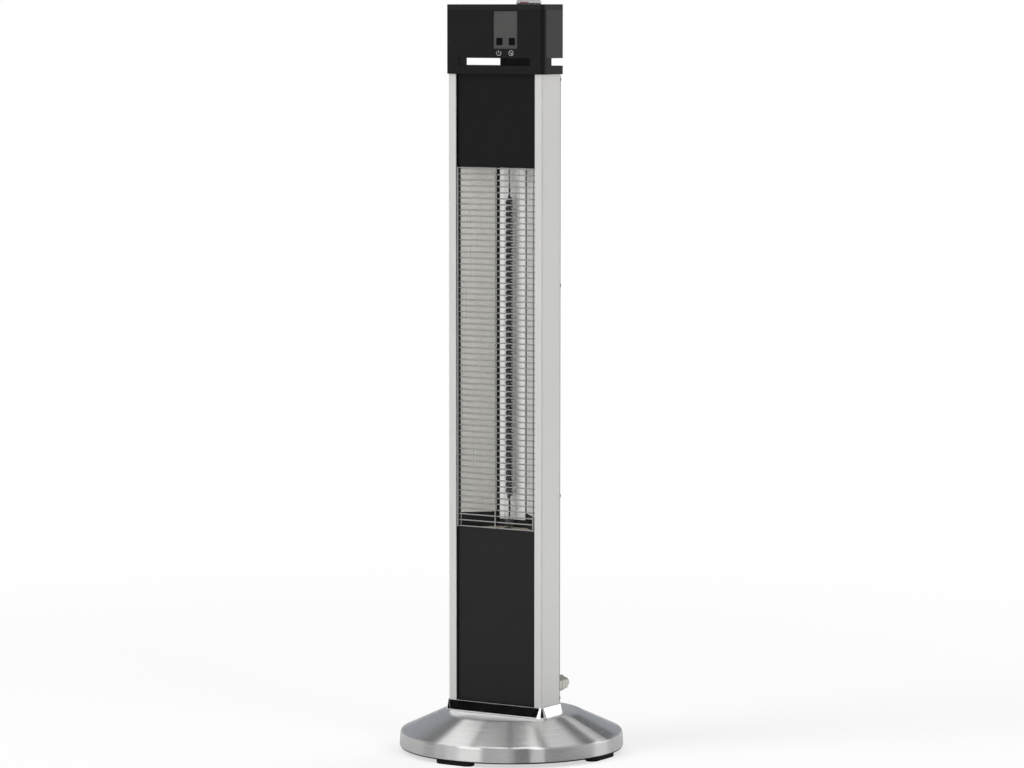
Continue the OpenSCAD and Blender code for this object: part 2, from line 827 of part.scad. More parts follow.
clip_t = 1;
clip_mouth_share = 0.6;
clip_tab = 9;
module lamp_clips() {
  inner = cap_r - groove_d + seam;
  outer = inner + clip_t;
  low = cap_seat - cap_l + groove_rise + seam;
  h = groove_w - 2 * seam;
  color([0.7, 0.7, 0.7]) at_lamp_ends() difference() {
    union() {
      translate([0, 0, low]) cylinder(r = outer, h = h);
      translate([inner, -h / 2, low]) cube([clip_t + cap_wall, h, clip_t]);
      translate([cap_r + seam, -h / 2, low]) cube([clip_t, h, tube_pass - low]);
      translate([cap_r + seam, -h / 2, tube_pass - clip_t]) cube([clip_tab, h, clip_t]);
    }
    translate([0, 0, low - cut]) cylinder(r = inner, h = h + 2 * cut);
    translate([-outer * clip_mouth_share, -outer - cut, low - cut])
      cube([2 * outer * clip_mouth_share, outer + cut, h + 2 * cut]);
  }
}

// Inner wiring: three supply wires and two lamp wires, on round-number routes

wire_r = 1.5;
wire_sides = 8;
wire_step = 3.4;
function wire_rings(p) =
  [for (i = [0 : len(p) - 1])
    let (
      before = unit(i > 0 ? p[i] - p[i - 1] : p[1] - p[0]),
      after = unit(i < len(p) - 1 ? p[i + 1] - p[i] : p[i] - p[i - 1]),
      way = unit(before + after),
      side = unit(cross([0, 1, 0], way)),
      back = cross(way, side)
    )
    [for (k = [0 : wire_sides - 1])
      let (a = 360 * k / wire_sides)
      p[i] + wire_r * (cos(a) * side + sin(a) * back)]];

channel_inset = 12;
channel_v = 28;
wire_lift = 12;
channel_low = 30;
channel_high = 34;
duct_wire_x = 8;
duct_low = 6;
duct_high = 3;
module inner_wiring() {
  block_top = profile_z + block_h;
  channel_x = -column_w / 2 + channel_inset;
  channel_y = front_y + channel_v;
  duct_y = head_rear_y - duct_d / 2;
  relay_y = front_y + relay_v + relay_d / 2;
  rise = [0, 0, wire_lift];
  duct_top = housing_z + duct_high;
  color([0.55, 0.1, 0.08]) {
    for (i = [-1 : 1]) {
      side = i * wire_step;
      from = [block_x + i * block_pitch, -column_forward, block_top];
      low = [channel_x + side, channel_y, block_top + channel_low + side];
      high = [channel_x + side, channel_y, profile_top - channel_high - side];
      duct = [duct_x - duct_wire_x + side, duct_y, profile_top - duct_low - side];
      relay = [relay_x + side, relay_y, relay_z];
      skin(wire_rings([from, from + rise + [0, 0, side], low, low + rise, high - rise, high, duct,
        [duct[0], duct_y, duct_top], relay - rise / 2, relay]));
    }
    top = [0, lamp_y, tube_top - cap_seat + cap_l];
    relay = [relay_x + 2 * wire_step, relay_y, relay_z];
    lamp_x = duct_x + duct_wire_x;
    skin(wire_rings([top, top + rise, [lamp_x, duct_y, profile_top - wire_lift],
      [lamp_x, duct_y, duct_top], relay - rise / 2, relay]));
  }
}

block_l = 30;
block_d = 16;
block_h = 14;
block_x = -17;
block_pitch = 8.5;
block_hole_r = 1.9;
block_hole_h = 5;
block_step = 3;
module terminal_block() {
  color([0.85, 0.83, 0.78]) translate([block_x, -column_forward, profile_z]) difference() {
    union() {
      translate([-block_l / 2, -block_d / 2, 0]) cube([block_l, block_d, block_h - block_step]);
      translate([-block_l / 2, -block_d / 4, 0]) cube([block_l, block_d / 2, block_h]);
    }
    for (i = [-1 : 1], side = [-1, 1])
      translate([i * block_pitch, side * block_d * 3 / 8, block_h - block_step - block_hole_h])
        cylinder(r = block_hole_r, h = block_hole_h + cut);
  }
}

tip_r = 11;
tip_h = 16;
tip_cap_h = 3;
tip_x = 18;
module tip_switch() {
  color([0.1, 0.1, 0.1]) translate([tip_x, -column_forward, profile_z]) {
    cylinder(r = tip_r, h = tip_h);
    translate([0, 0, tip_h]) cylinder(r = tip_r - tip_cap_h, h = tip_cap_h);
  }
}

// Cable gland on the rear cover; its axis runs towards +Y

gland_thread_r = 7.9;
gland_inside = 4;
gland_washer_t = 1.2;
gland_hex_t = 5.5;
gland_neck_r = 7.3;
gland_neck_l = 9;
gland_body_bore_r = 5.2;
gland_socket_r = 6.2;
gland_insert_l = 13;
gland_nut_gap = 0.8;
gland_dome_r = 7.6;
gland_dome_l = 9;
dome_mouth_share = 0.75;
gland_locknut_t = 3;
gland_face = rear_t + gland_washer_t;
gland_seat = gland_face + gland_hex_t;

module gland_place() {
  translate([gland_x, rear_y, base_h + gland_z]) children();
}

module hexagon_y(af, h) {
  rotate([-90, 0, 0]) rotate(30) hexagon(af, h);
}

module gland_body() {
  color([0.78, 0.75, 0.68]) gland_place() difference() {
    union() {
      translate([0, -gland_inside, 0]) rod_y(gland_thread_r, gland_inside + gland_seat - cut);
      translate([0, gland_face, 0]) hexagon_y(gland_af, gland_hex_t);
      translate([0, gland_face + cut, 0]) rod_y(gland_neck_r, gland_hex_t + gland_neck_l - cut);
    }
    translate([0, -gland_inside - cut, 0])
      rod_y(gland_body_bore_r, gland_inside + gland_seat + gland_neck_l + 2 * cut);
    translate([0, gland_seat, 0]) rod_y(gland_socket_r, gland_neck_l + cut);
  }
}

module gland_washer() {
  color([0.05, 0.05, 0.05]) gland_place() difference() {
    translate([0, rear_t, 0]) rod_y(gland_af / 2 - gap, gland_washer_t);
    rod_y(gland_thread_r + running, gland_face + cut);
  }
}

module gland_insert() {
  color([0.06, 0.06, 0.06]) gland_place() translate([0, gland_seat, 0]) difference() {
    rod_y(gland_socket_r - running, gland_insert_l);
    translate([0, -cut, 0]) rod_y(gland_bore_d / 2, gland_insert_l + 2 * cut);
  }
}

module gland_dome_nut() {
  start = gland_seat + gland_nut_gap;
  l = gland_l - start;
  hex_l = l - gland_dome_l;
  collar = gland_neck_r + running;
  dome = [for (i = [0 : corner_steps])
    let (a = 90 * i / corner_steps)
    [gland_dome_r * (dome_mouth_share + (1 - dome_mouth_share) * cos(a)), gland_dome_l * sin(a)]];
  color([0.8, 0.77, 0.7]) gland_place() translate([0, start, 0]) difference() {
    union() {
      hexagon_y(gland_af, hex_l);
      rotate([-90, 0, 0]) translate([0, 0, hex_l]) rotate_extrude()
        polygon(concat([[0, -cut], [gland_dome_r, -cut]], dome, [[0, gland_dome_l]]));
    }
    translate([0, -cut, 0]) rod_y(collar, gland_neck_l - gland_nut_gap + gap + cut);
    translate([0, -cut, 0]) rod_y(gland_socket_r + running, gland_insert_l - gland_nut_gap + gap + cut);
    rod_y(gland_body_bore_r - gap, l + cut);
  }
}

module gland_locknut() {
  color([0.78, 0.75, 0.68]) gland_place() translate([0, -gland_locknut_t, 0]) difference() {
    hexagon_y(gland_af - gap, gland_locknut_t);
    translate([0, -cut, 0]) rod_y(gland_thread_r + running, gland_locknut_t + 2 * cut);
  }
}

// Head

fascia_return = 8;
fascia_depth = fascia_return - head_overhang;
duct_d = 17.5;
duct_wall = 4;
duct_hole_w = 28;
duct_rib_w = 0.8;
duct_rib_t = 0.6;
duct_rib_shares = [-0.35, 0.08];
post_depth = 13;
post_front = fascia_depth + seam;
driver_r = 4.4;
long_screw_inset = 3.5;
boss_r = 3.6;
head_half = head_w / 2;
core_half = head_half - shell_t - seam;
core_front = shell_t + seam - head_overhang;
head_back = column_d + head_rear_overhang;

module core_plan() {
  polygon(rounded(
    [[-head_half, post_front], [-core_half, post_front], [-core_half, core_front],
      [core_half, core_front], [core_half, post_front], [head_half, post_front],
      [head_half, head_back], [-head_half, head_back]],
    [0, 0, head_corner_r - shell_t, head_corner_r - shell_t, 0, 0, head_corner_r, head_corner_r]));
}

long_screw_front_v = post_front + post_depth / 2 + seam;
long_screw_rear_v = head_back - duct_d / 2;
module long_screw_places() {
  for (side = [-1, 1]) {
    translate([side * (slot_w / 2 + long_screw_inset), front_y + long_screw_front_v, 0]) children();
    translate([duct_x + side * (duct_w / 2 - long_screw_inset), front_y + long_screw_rear_v, 0])
      children();
  }
}

module duct_plan() {
  translate([duct_x, head_back - duct_d / 2]) square([duct_hole_w, duct_d - 2 * duct_wall], center = true);
}

module head_base() {
  reach = column_w / 2 + gap;
  color([0.1, 0.1, 0.1]) difference() {
    union() {
      upright(head_z, flange_h) core_plan();
      upright(flange_top, vent_h) intersection() {
        core_plan();
        both_sides() translate([slot_w / 2, core_front])
          square([head_w, post_front + post_depth - core_front]);
      }
      upright(flange_top, vent_h) translate([duct_x - duct_w / 2, head_back - duct_d])
        square([duct_w, duct_d]);
      upright(flange_top, vent_h) for (share = duct_rib_shares)
        translate([duct_x + share * duct_w - duct_rib_w / 2, head_back - duct_d - duct_rib_t])
          square([duct_rib_w, duct_rib_t + cut]);
    }
    translate([-reach, front_y - cut - gap, head_z - cut])
      cube([2 * reach, column_d + cut + 2 * gap, profile_top - head_z + cut]);
    upright(profile_top - cut, housing_z - profile_top + 2 * cut) duct_plan();
    long_screw_places() translate([0, 0, profile_top - cut])
      cylinder(r = long_screw_r + 2 * seam, h = housing_z - profile_top + 2 * cut);
    port_places() translate([0, 0, flange_top]) mirror([0, 0, 1]) tap_screw_hole(head_floor_t);
    port_places() translate([0, 0, flange_top]) cylinder(r = driver_r, h = vent_h + cut);
  }
}

// One moulding wraps the whole front; the window and the slot go through it
window_margin = 1.6;
window_top = lid_z - window_margin;
window_bottom = window_top - window_h;
window_ledge = 1.2;
module window_block(grow, depth_from, depth) {
  translate([window_x - window_w / 2 - grow, front_y + depth_from, window_bottom - grow])
    cube([window_w + 2 * grow, depth, window_h + 2 * grow]);
}

module head_fascia() {
  inner = head_half - shell_t;
  inner_r = head_corner_r - shell_t;
  color([0.11, 0.11, 0.11]) difference() {
    upright(head_z, lid_z - head_z) polygon(rounded(
      [[-head_half, fascia_depth], [-head_half, -head_overhang], [head_half, -head_overhang],
        [head_half, fascia_depth], [inner, fascia_depth], [inner, shell_t - head_overhang],
        [-inner, shell_t - head_overhang], [-inner, fascia_depth]],
      [0, head_corner_r, head_corner_r, 0, 0, inner_r, inner_r, 0]));
    translate([-slot_w / 2, head_front_y - cut, flange_top]) cube([slot_w, shell_t + 2 * cut, vent_h]);
    window_block(seam, -head_overhang - cut, shell_t + 2 * cut);
  }
}

module head_housing() {
  wide = head_half - shell_t;
  front_half = core_half - shell_t;
  front_v = core_front + shell_t;
  step_v = post_front + shell_t;
  back_v = head_back - shell_t;
  inner_h = housing_h - shell_t + cut;
  color([0.13, 0.13, 0.13]) {
    difference() {
      upright(housing_z, housing_h) core_plan();
      upright(housing_z + shell_t, inner_h) polygon(rounded(
        [[-wide, step_v], [-front_half, step_v], [-front_half, front_v], [front_half, front_v],
          [front_half, step_v], [wide, step_v], [wide, back_v], [-wide, back_v]],
        [0, 0, 0, 0, 0, 0, head_corner_r - shell_t, head_corner_r - shell_t]));
      window_block(-window_ledge, core_front - cut, shell_t + 2 * cut);
      upright(housing_z - cut, shell_t + 2 * cut) duct_plan();
      long_screw_places() translate([0, 0, housing_z - cut])
        cylinder(r = long_screw_r + 2 * seam, h = shell_t + 2 * cut);
    }
    board_post_places() translate([0, front_v, 0]) rod_y(board_post_r, board_v - front_v);
  }
}

// The lid's top edges are rounded; its bosses stand on the housing's floor
lid_edge_r = 1.6;
lid_lip_t = 1.4;
lid_lip_h = 2;
switch_wall = 1.2;
bezel_rim = 1.3;
bezel_h = 1.8;
pocket_l = rocker_l + 2 * gap;
pocket_w = rocker_w + 2 * gap;
well_l = pocket_l + 2 * switch_wall;
well_w = pocket_w + 2 * switch_wall;

module lid_profile(w) {
  polygon(rounded(
    [[-w / 2, 0], [w / 2, 0], [w / 2, lid_h], [-w / 2, lid_h]],
    [0, 0, lid_edge_r, lid_edge_r]));
}

module lid_ring(inset, h) {
  half = core_half - shell_t - inset;
  front = core_front + shell_t + inset;
  upright(lid_z - h, lid_h) translate([-half, front])
    square([2 * half, head_back - shell_t - inset - front]);
}

module head_lid() {
  color([0.1, 0.1, 0.1]) difference() {
    union() {
      intersection() {
        translate([0, head_middle_y, lid_z]) linear_extrude(lid_h)
          rounded_rect(head_w, head_d, head_corner_r);
        translate([0, head_rear_y, lid_z]) rotate([90, 0, 0]) linear_extrude(head_d) lid_profile(head_w);
        translate([-head_half, head_middle_y, lid_z]) rotate([90, 0, 90])
          linear_extrude(head_w) lid_profile(head_d);
      }
      lid_ring(gap, lid_lip_h);
    }
    upright(lid_z - lid_lip_h - cut, lid_lip_h + lid_h - shell_t + cut) {
      half = core_half - shell_t - gap - lid_lip_t;
      front = core_front + shell_t + gap + lid_lip_t;
      back = head_back - shell_t - gap - lid_lip_t;
      difference() {
        translate([-half, front]) square([2 * half, back - front]);
        translate([0, -front_y]) long_screw_places() circle(r = boss_r);
      }
    }
    translate([switch_x, -column_forward, lid_z]) linear_extrude(lid_h + cut)
      square([well_l + 2 * gap, well_w + 2 * gap], center = true);
    long_screw_places() translate([0, 0, lid_z - lid_lip_h - cut])
      cylinder(r = long_screw_r + running, h = lid_lip_h + cut);
  }
  boss_z = housing_z + shell_t;
  bore_l = long_screw_l - (boss_z - profile_top) + cut;
  color([0.1, 0.1, 0.1]) long_screw_places() translate([0, 0, boss_z]) difference() {
    cylinder(r = boss_r, h = lid_z - lid_lip_h - boss_z);
    translate([0, 0, -cut]) cylinder(r = long_screw_r + running, h = bore_l + cut);
  }
}

module head_screws() {
  color([0.75, 0.75, 0.76]) long_screw_places() {
    translate([0, 0, profile_top - long_screw_head_h]) cylinder(r = long_screw_head_r, h = long_screw_head_h);
    translate([0, 0, profile_top]) cylinder(r = long_screw_r, h = long_screw_l);
  }
}

// Controls

button_rise = 9.4;
button_shift = 0.25;
button_clear = 0.25;
button_proud = 0.3;
button_corner_r = 0.8;
button_flange = 1.2;
button_flange_t = 1;
stem_r = 2.4;
plunger_r = 1.75;
plunger_l = 2.9;
tact_w = 6.2;
tact_h = 3.5;
board_v = 10.5;
board_t = 1.6;
board_w = 60;
board_low = 3;
board_post_r = 2.6;
board_post_inset = 3.5;
button_z = window_bottom + button_rise;
plunger_v = board_v - tact_h - gap - button_travel - seam;
window_v = window_recess - head_overhang;
flange_v = window_v + window_t + 2 * seam;

module button_places() {
  for (side = [-1, 1]) button_place(side) children();
}

module button_place(side) {
  translate([window_x + button_shift + side * button_pitch / 2, front_y, button_z]) children();
}

module control_window() {
  color([0.3, 0.3, 0.3]) difference() {
    window_block(0, window_v, window_t);
    button_places() translate([0, window_v - cut, 0]) rotate([-90, 0, 0])
      linear_extrude(window_t + 2 * cut)
      rounded_rect(button_w + 2 * button_clear, button_w + 2 * button_clear, button_corner_r);
  }
}

module button(side) {
  wide = button_w + 2 * button_flange;
  color([0.04, 0.04, 0.04]) button_place(side) rotate([-90, 0, 0]) {
    translate([0, 0, window_v - button_proud])
      linear_extrude(button_proud + flange_v - window_v)
      rounded_rect(button_w, button_w, button_corner_r);
    translate([0, 0, flange_v]) linear_extrude(button_flange_t)
      rounded_rect(wide, wide, button_corner_r);
    translate([0, 0, flange_v + button_flange_t])
      cylinder(r = stem_r, h = plunger_v - flange_v - button_flange_t);
  }
}

module button_power() {
  button(-1);
}

module button_timer() {
  button(1);
}

module plunger(side) {
  color([0.3, 0.3, 0.3]) button_place(side) translate([0, plunger_v, 0]) rod_y(plunger_r, plunger_l);
}

module plunger_power() {
  plunger(-1);
}

module plunger_timer() {
  plunger(1);
}

module tact_switches() {
  color([0.7, 0.7, 0.7]) button_places() difference() {
    translate([-tact_w / 2, board_v - tact_h, -tact_w / 2]) cube([tact_w, tact_h, tact_w]);
    translate([0, board_v - tact_h - cut, 0])
      rod_y(plunger_r + running, plunger_v + plunger_l + button_travel + seam - board_v + tact_h + cut);
  }
}

board_z = window_bottom - board_low;
board_h = window_h - 2 * board_low;
module board_post_places() {
  for (side = [-1, 1], level = [board_post_inset, board_h - board_post_inset])
    translate([window_x + side * (board_w / 2 - board_post_inset), front_y, board_z + level]) children();
}

module control_board() {
  color([0.1, 0.35, 0.15]) translate([window_x - board_w / 2, front_y + board_v, board_z])
    cube([board_w, board_t, board_h]);
}

relay_w = 20;
relay_d = 15;
relay_h = 16;
relay_shift = 18;
relay_rise = 8;
relay_x = window_x - relay_shift;
relay_v = board_v + board_t;
relay_z = board_z + relay_rise;
module relay() {
  color([0.05, 0.1, 0.3]) translate([relay_x - relay_w / 2, front_y + relay_v, relay_z])
    cube([relay_w, relay_d, relay_h]);
}

led_r = 1.5;
led_l = 4.5;
led_drop = 12;
led_pitch = 9;
module indicator_lamps() {
  color([0.8, 0.2, 0.15]) for (i = [-1 : 1])
    translate([window_x + i * led_pitch, front_y + board_v - led_l, window_top - led_drop]) {
      rod_y(led_r, led_l);
      sphere(r = led_r);
    }
}

// Rocker switch and its clear boot

axle_drop = 2.2;
axle_r = 1.5;
pocket_drop = 6.6;
switch_drop = 21;
blade_l = 8;
blade_w = 4.8;
blade_t = 0.8;
rocker_top_angle = 23;
rocker_low_angle = 25;
rocker_dip_share = 0.26;
rocker_steps = 8;
boot_t = 1.1;
boot_r = 3;
boot_draw = 2;
boot_wall_h = 2.4;
axle_z = lid_top - axle_drop;

module switch_place(z) {
  translate([switch_x, -column_forward, z]) children();
}

module switch_body() {
  color([0.07, 0.07, 0.07]) switch_place(0) {
    difference() {
      union() {
        translate([0, 0, lid_top]) linear_extrude(bezel_h)
          rounded_rect(well_l + 2 * bezel_rim, well_w + 2 * bezel_rim, boot_r - boot_t - seam);
        translate([0, 0, lid_top - switch_drop]) linear_extrude(switch_drop)
          square([well_l, well_w], center = true);
      }
      translate([0, 0, axle_z - pocket_drop]) linear_extrude(pocket_drop + axle_drop + bezel_h + cut)
        square([pocket_l, pocket_w], center = true);
      translate([0, -well_w / 2 - cut, axle_z]) rod_y(axle_r + running, well_w + 2 * cut);
    }
    for (i = [-1 : 1])
      translate([i * well_l / 3 - blade_t / 2, -blade_w / 2, lid_top - switch_drop - blade_l])
        cube([blade_t, blade_w, blade_l]);
  }
}

module rocker() {
  r = rocker_l / 2;
  ends = [for (i = [0 : rocker_steps])
    let (a = -rocker_low_angle + i * (rocker_top_angle + rocker_low_angle) / rocker_steps)
    [r * cos(a), r * sin(a)]];
  outline = concat(ends, [[0, r * rocker_dip_share]], [for (p = reversed(ends)) [-p[0], p[1]]]);
  color([0.75, 0.08, 0.06]) switch_place(axle_z) rotate([0, rocker_tilt, 0]) {
    translate([0, rocker_w / 2, 0]) rotate([90, 0, 0]) linear_extrude(rocker_w) polygon(outline);
    translate([0, -well_w / 2, 0]) rod_y(axle_r, well_w);
  }
}

module boot_form(w, d, h, r) {
  hull() {
    linear_extrude(boot_wall_h) rounded_rect(w, d, r);
    translate([0, 0, h / 2]) linear_extrude(boot_t) rounded_rect(w - boot_draw / 2, d - boot_draw / 2, r);
    linear_extrude(h) rounded_rect(w - 2 * boot_draw, d - 2 * boot_draw, r);
  }
}

module switch_boot() {
  w = well_l + 2 * (bezel_rim + seam);
  d = well_w + 2 * (bezel_rim + seam);
  color([0.85, 0.85, 0.85, 0.5]) switch_place(lid_top) difference() {
    boot_form(w + 2 * boot_t, d + 2 * boot_t, boot_h, boot_r);
    translate([0, 0, -seam]) boot_form(w, d, boot_h - boot_t + seam, boot_r - boot_t);
  }
}

base_cover();
base_plate();
ballast_disc();
rubber_feet();
foot_screws();
base_bolts();
base_nuts();
base_skirt();
column_foot();
profile_screws();
side_profile_left();
side_profile_right();
front_panel_upper();
front_panel_lower();
rear_cover();
rear_cover_screws();
grille();
heat_shield();
reflector_back();
reflector_left();
reflector_right();
chamber_floor();
chamber_top();
quartz_tube();
carbon_spiral();
lamp_leads();
lamp_end_caps();
lamp_clips();
inner_wiring();
terminal_block();
tip_switch();
gland_body();
gland_washer();
gland_insert();
gland_dome_nut();
gland_locknut();
head_base();
head_fascia();
head_housing();
head_lid();
head_screws();
control_window();
button_power();
button_timer();
plunger_power();
plunger_timer();
tact_switches();
control_board();
relay();
indicator_lamps();
switch_body();
rocker();
switch_boot();
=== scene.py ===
"""Looks of the infrared patio heater tower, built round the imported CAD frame. Metres."""

import json
import math

import bmesh
import bpy
from mathutils import Matrix, Vector


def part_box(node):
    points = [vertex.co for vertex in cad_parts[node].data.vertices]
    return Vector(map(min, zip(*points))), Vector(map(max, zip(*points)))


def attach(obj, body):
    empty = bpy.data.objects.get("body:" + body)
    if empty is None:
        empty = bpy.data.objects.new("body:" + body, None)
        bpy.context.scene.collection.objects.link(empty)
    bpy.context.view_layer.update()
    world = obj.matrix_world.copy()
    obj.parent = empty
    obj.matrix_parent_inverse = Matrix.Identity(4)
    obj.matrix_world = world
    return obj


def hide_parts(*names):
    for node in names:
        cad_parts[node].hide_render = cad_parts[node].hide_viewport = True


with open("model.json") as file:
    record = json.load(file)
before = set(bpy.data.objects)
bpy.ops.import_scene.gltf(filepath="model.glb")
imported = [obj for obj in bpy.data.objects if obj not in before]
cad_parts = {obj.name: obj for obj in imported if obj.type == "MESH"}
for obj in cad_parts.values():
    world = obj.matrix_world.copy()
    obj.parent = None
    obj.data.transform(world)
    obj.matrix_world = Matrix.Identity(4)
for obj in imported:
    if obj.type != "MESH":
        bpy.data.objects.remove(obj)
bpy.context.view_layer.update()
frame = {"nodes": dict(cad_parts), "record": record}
MM = 0.001


def placed(name, data):
    """A new object in the scene."""
    made = bpy.data.objects.new(name, data)
    bpy.context.scene.collection.objects.link(made)
    return made


# Camera at the photograph's viewing angle

SENSOR = 36.0
LENS = 147.58
CLIP_START, CLIP_END = 0.1, 100
CAMERA_AT = Vector((2.97796, -4.70647, 0.98731))
RIGHT = Vector((0.845071, 0.534654, 0.000426))
UP = Vector((-0.047763, 0.074700, 0.996062))
FORWARD = Vector((-0.532516, 0.841763, -0.088664))

camera_data = bpy.data.cameras.new("camera")
camera_data.lens = LENS
camera_data.sensor_width = SENSOR
camera_data.clip_start = CLIP_START
camera_data.clip_end = CLIP_END
camera = placed("camera", camera_data)
camera_turn = Matrix((RIGHT, UP, -FORWARD)).transposed().to_4x4()
camera.matrix_world = Matrix.Translation(CAMERA_AT) @ camera_turn
bpy.context.scene.camera = camera
bpy.context.scene.view_settings.view_transform = "Standard"


# Places taken from the CAD nodes

def low(node):
    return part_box(node)[0]


def high(node):
    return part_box(node)[1]


def middle(node):
    return (low(node) + high(node)) / 2


# Node building

NOISE_LOW, NOISE_HIGH = 0.3, 0.7
STREAK_LOW, STREAK_HIGH = 0.35, 0.65
BEVEL_SAMPLES = 4
WHITE = (1, 1, 1, 1)


def add(tree, kind, inputs=None, **settings):
    """A shader node with its settings; an input is a value or a socket to link."""
    node = tree.nodes.new(kind)
    for name, value in settings.items():
        setattr(node, name, value)
    for name, value in (inputs or {}).items():
        if isinstance(value, bpy.types.NodeSocket):
            tree.links.new(value, node.inputs[name])
        else:
            node.inputs[name].default_value = value
    return node


def new_material(name):
    material = bpy.data.materials.new(name)
    material.use_nodes = True
    material.node_tree.nodes.clear()
    return material, material.node_tree


def rgba(color):
    return (*color, 1.0)


def scaled(color, factor):
    return [min(1.0, c * factor) for c in color]


def object_point(tree, scale=(1, 1, 1)):
    place = add(tree, "ShaderNodeTexCoord").outputs["Object"]
    return add(tree, "ShaderNodeMapping", {"Vector": place, "Scale": scale}).outputs[0]


def axes(tree, vector):
    return add(tree, "ShaderNodeSeparateXYZ", {"Vector": vector}).outputs


def noise(tree, vector, scale, detail, rough):
    inputs = {"Vector": vector, "Scale": scale, "Detail": detail, "Roughness": rough}
    return add(tree, "ShaderNodeTexNoise", inputs).outputs["Fac"]


def ranged(tree, value, low_in, high_in, low_out, high_out, smooth=False):
    inputs = {"Value": value, "From Min": low_in, "From Max": high_in,
              "To Min": low_out, "To Max": high_out}
    kind = "SMOOTHSTEP" if smooth else "LINEAR"
    return add(tree, "ShaderNodeMapRange", inputs, interpolation_type=kind).outputs[0]


def ramped(tree, value, stops):
    """Levels along a value, each stop a place from 0 to 1 and a grey or a colour."""
    node = add(tree, "ShaderNodeValToRGB", {"Fac": value})
    ramp = node.color_ramp
    while len(ramp.elements) < len(stops):
        ramp.elements.new(0.5)
    for element, (place, level) in zip(ramp.elements, stops):
        element.position = place
        element.color = rgba(level if isinstance(level, tuple) else (level,) * 3)
    return node.outputs["Color"]


def math_node(tree, operation, *values):
    return add(tree, "ShaderNodeMath", dict(enumerate(values)), operation=operation).outputs[0]


def vector_node(tree, operation, *values, output="Vector"):
    node = add(tree, "ShaderNodeVectorMath", dict(enumerate(values)), operation=operation)
    return node.outputs[output]


def weighed(tree, a, b, share):
    """Sum of two values, the first with the given share."""
    return math_node(tree, "ADD", math_node(tree, "MULTIPLY", a, share),
                     math_node(tree, "MULTIPLY", b, 1 - share))


def two_tone(tree, value, a, b):
    """Mix of two colours, each a socket or a plain colour."""
    colors = {name: color if isinstance(color, bpy.types.NodeSocket) else rgba(color)
              for name, color in (("A", a), ("B", b))}
    node = add(tree, "ShaderNodeMix", {"Factor": value, **colors}, data_type="RGBA")
    return node.outputs["Result"]


def mixed(tree, share, first, second):
    inputs = {"Fac": share, 1: first, 2: second}
    return add(tree, "ShaderNodeMixShader", inputs).outputs[0]


def bumped(tree, height, distance, edge_radius=0.0):
    inputs = {"Height": height, "Distance": distance, "Strength": 1.0}
    if edge_radius:
        bevel = add(tree, "ShaderNodeBevel", {"Radius": edge_radius}, samples=BEVEL_SAMPLES)
        inputs["Normal"] = bevel.outputs[0]
    return add(tree, "ShaderNodeBump", inputs).outputs[0]


def round_upright_axis(tree):
    return add(tree, "ShaderNodeTangent", direction_type="RADIAL", axis="Z").outputs[0]


def principled(tree, inputs):
    return add(tree, "ShaderNodeBsdfPrincipled", inputs).outputs[0]


def finish_with(tree, shader):
    add(tree, "ShaderNodeOutputMaterial", {"Surface": shader})


# General finish

def surface(name, color, rough, metal=0.0, spread=0.08, mottle=60, grain=(1, 1, 1), fineness=900,
            depth=0.02, uneven=0.06, edge=0.0, **sockets):
    """Blotchy colour, uneven gloss and a fine grain in the surface.

    spread and mottle are the strength and scale of the blotches, grain, fineness and depth the
    stretch, scale and height in mm of the grain, uneven the play of the roughness, and edge the
    radius in mm of softened edges.
    """
    material, tree = new_material(name)
    blotch = noise(tree, object_point(tree), mottle, 4.0, 0.6)
    blotch = ranged(tree, blotch, NOISE_LOW, NOISE_HIGH, 0.0, 1.0)
    tone = two_tone(tree, blotch, scaled(color, 1 - spread), scaled(color, 1 + spread))
    fine = noise(tree, object_point(tree, grain), fineness, 3.0, 0.6)
    gloss = ranged(tree, fine, NOISE_LOW, NOISE_HIGH, rough - uneven, rough + uneven)
    normal = bumped(tree, fine, depth * MM, edge * MM)
    finish_with(tree, principled(tree, {
        "Base Color": tone, "Roughness": gloss, "Normal": normal, "Metallic": metal, **sockets}))
    return material


# Metals

SPUN_DARK, SPUN_LIGHT = (0.63, 0.63, 0.625), (0.71, 0.71, 0.705)
SPUN_ROUGH = (0.22, 0.28)
SPUN_METAL = 0.9
SPUN_DEPTH = 0.005 * MM
SPUN_TURN = 0.25

# Scale of the brush noise, per metre across the lines and per radian along them
RING_PITCH = 1000.0
RING_RUN = 1.2

DRAWN_UNEVEN = 0.04
DRAWN_EDGE = 0.3 * MM
SHEET_ROUGH = (0.26, 0.34)
SHEET_DEPTH = 0.004 * MM


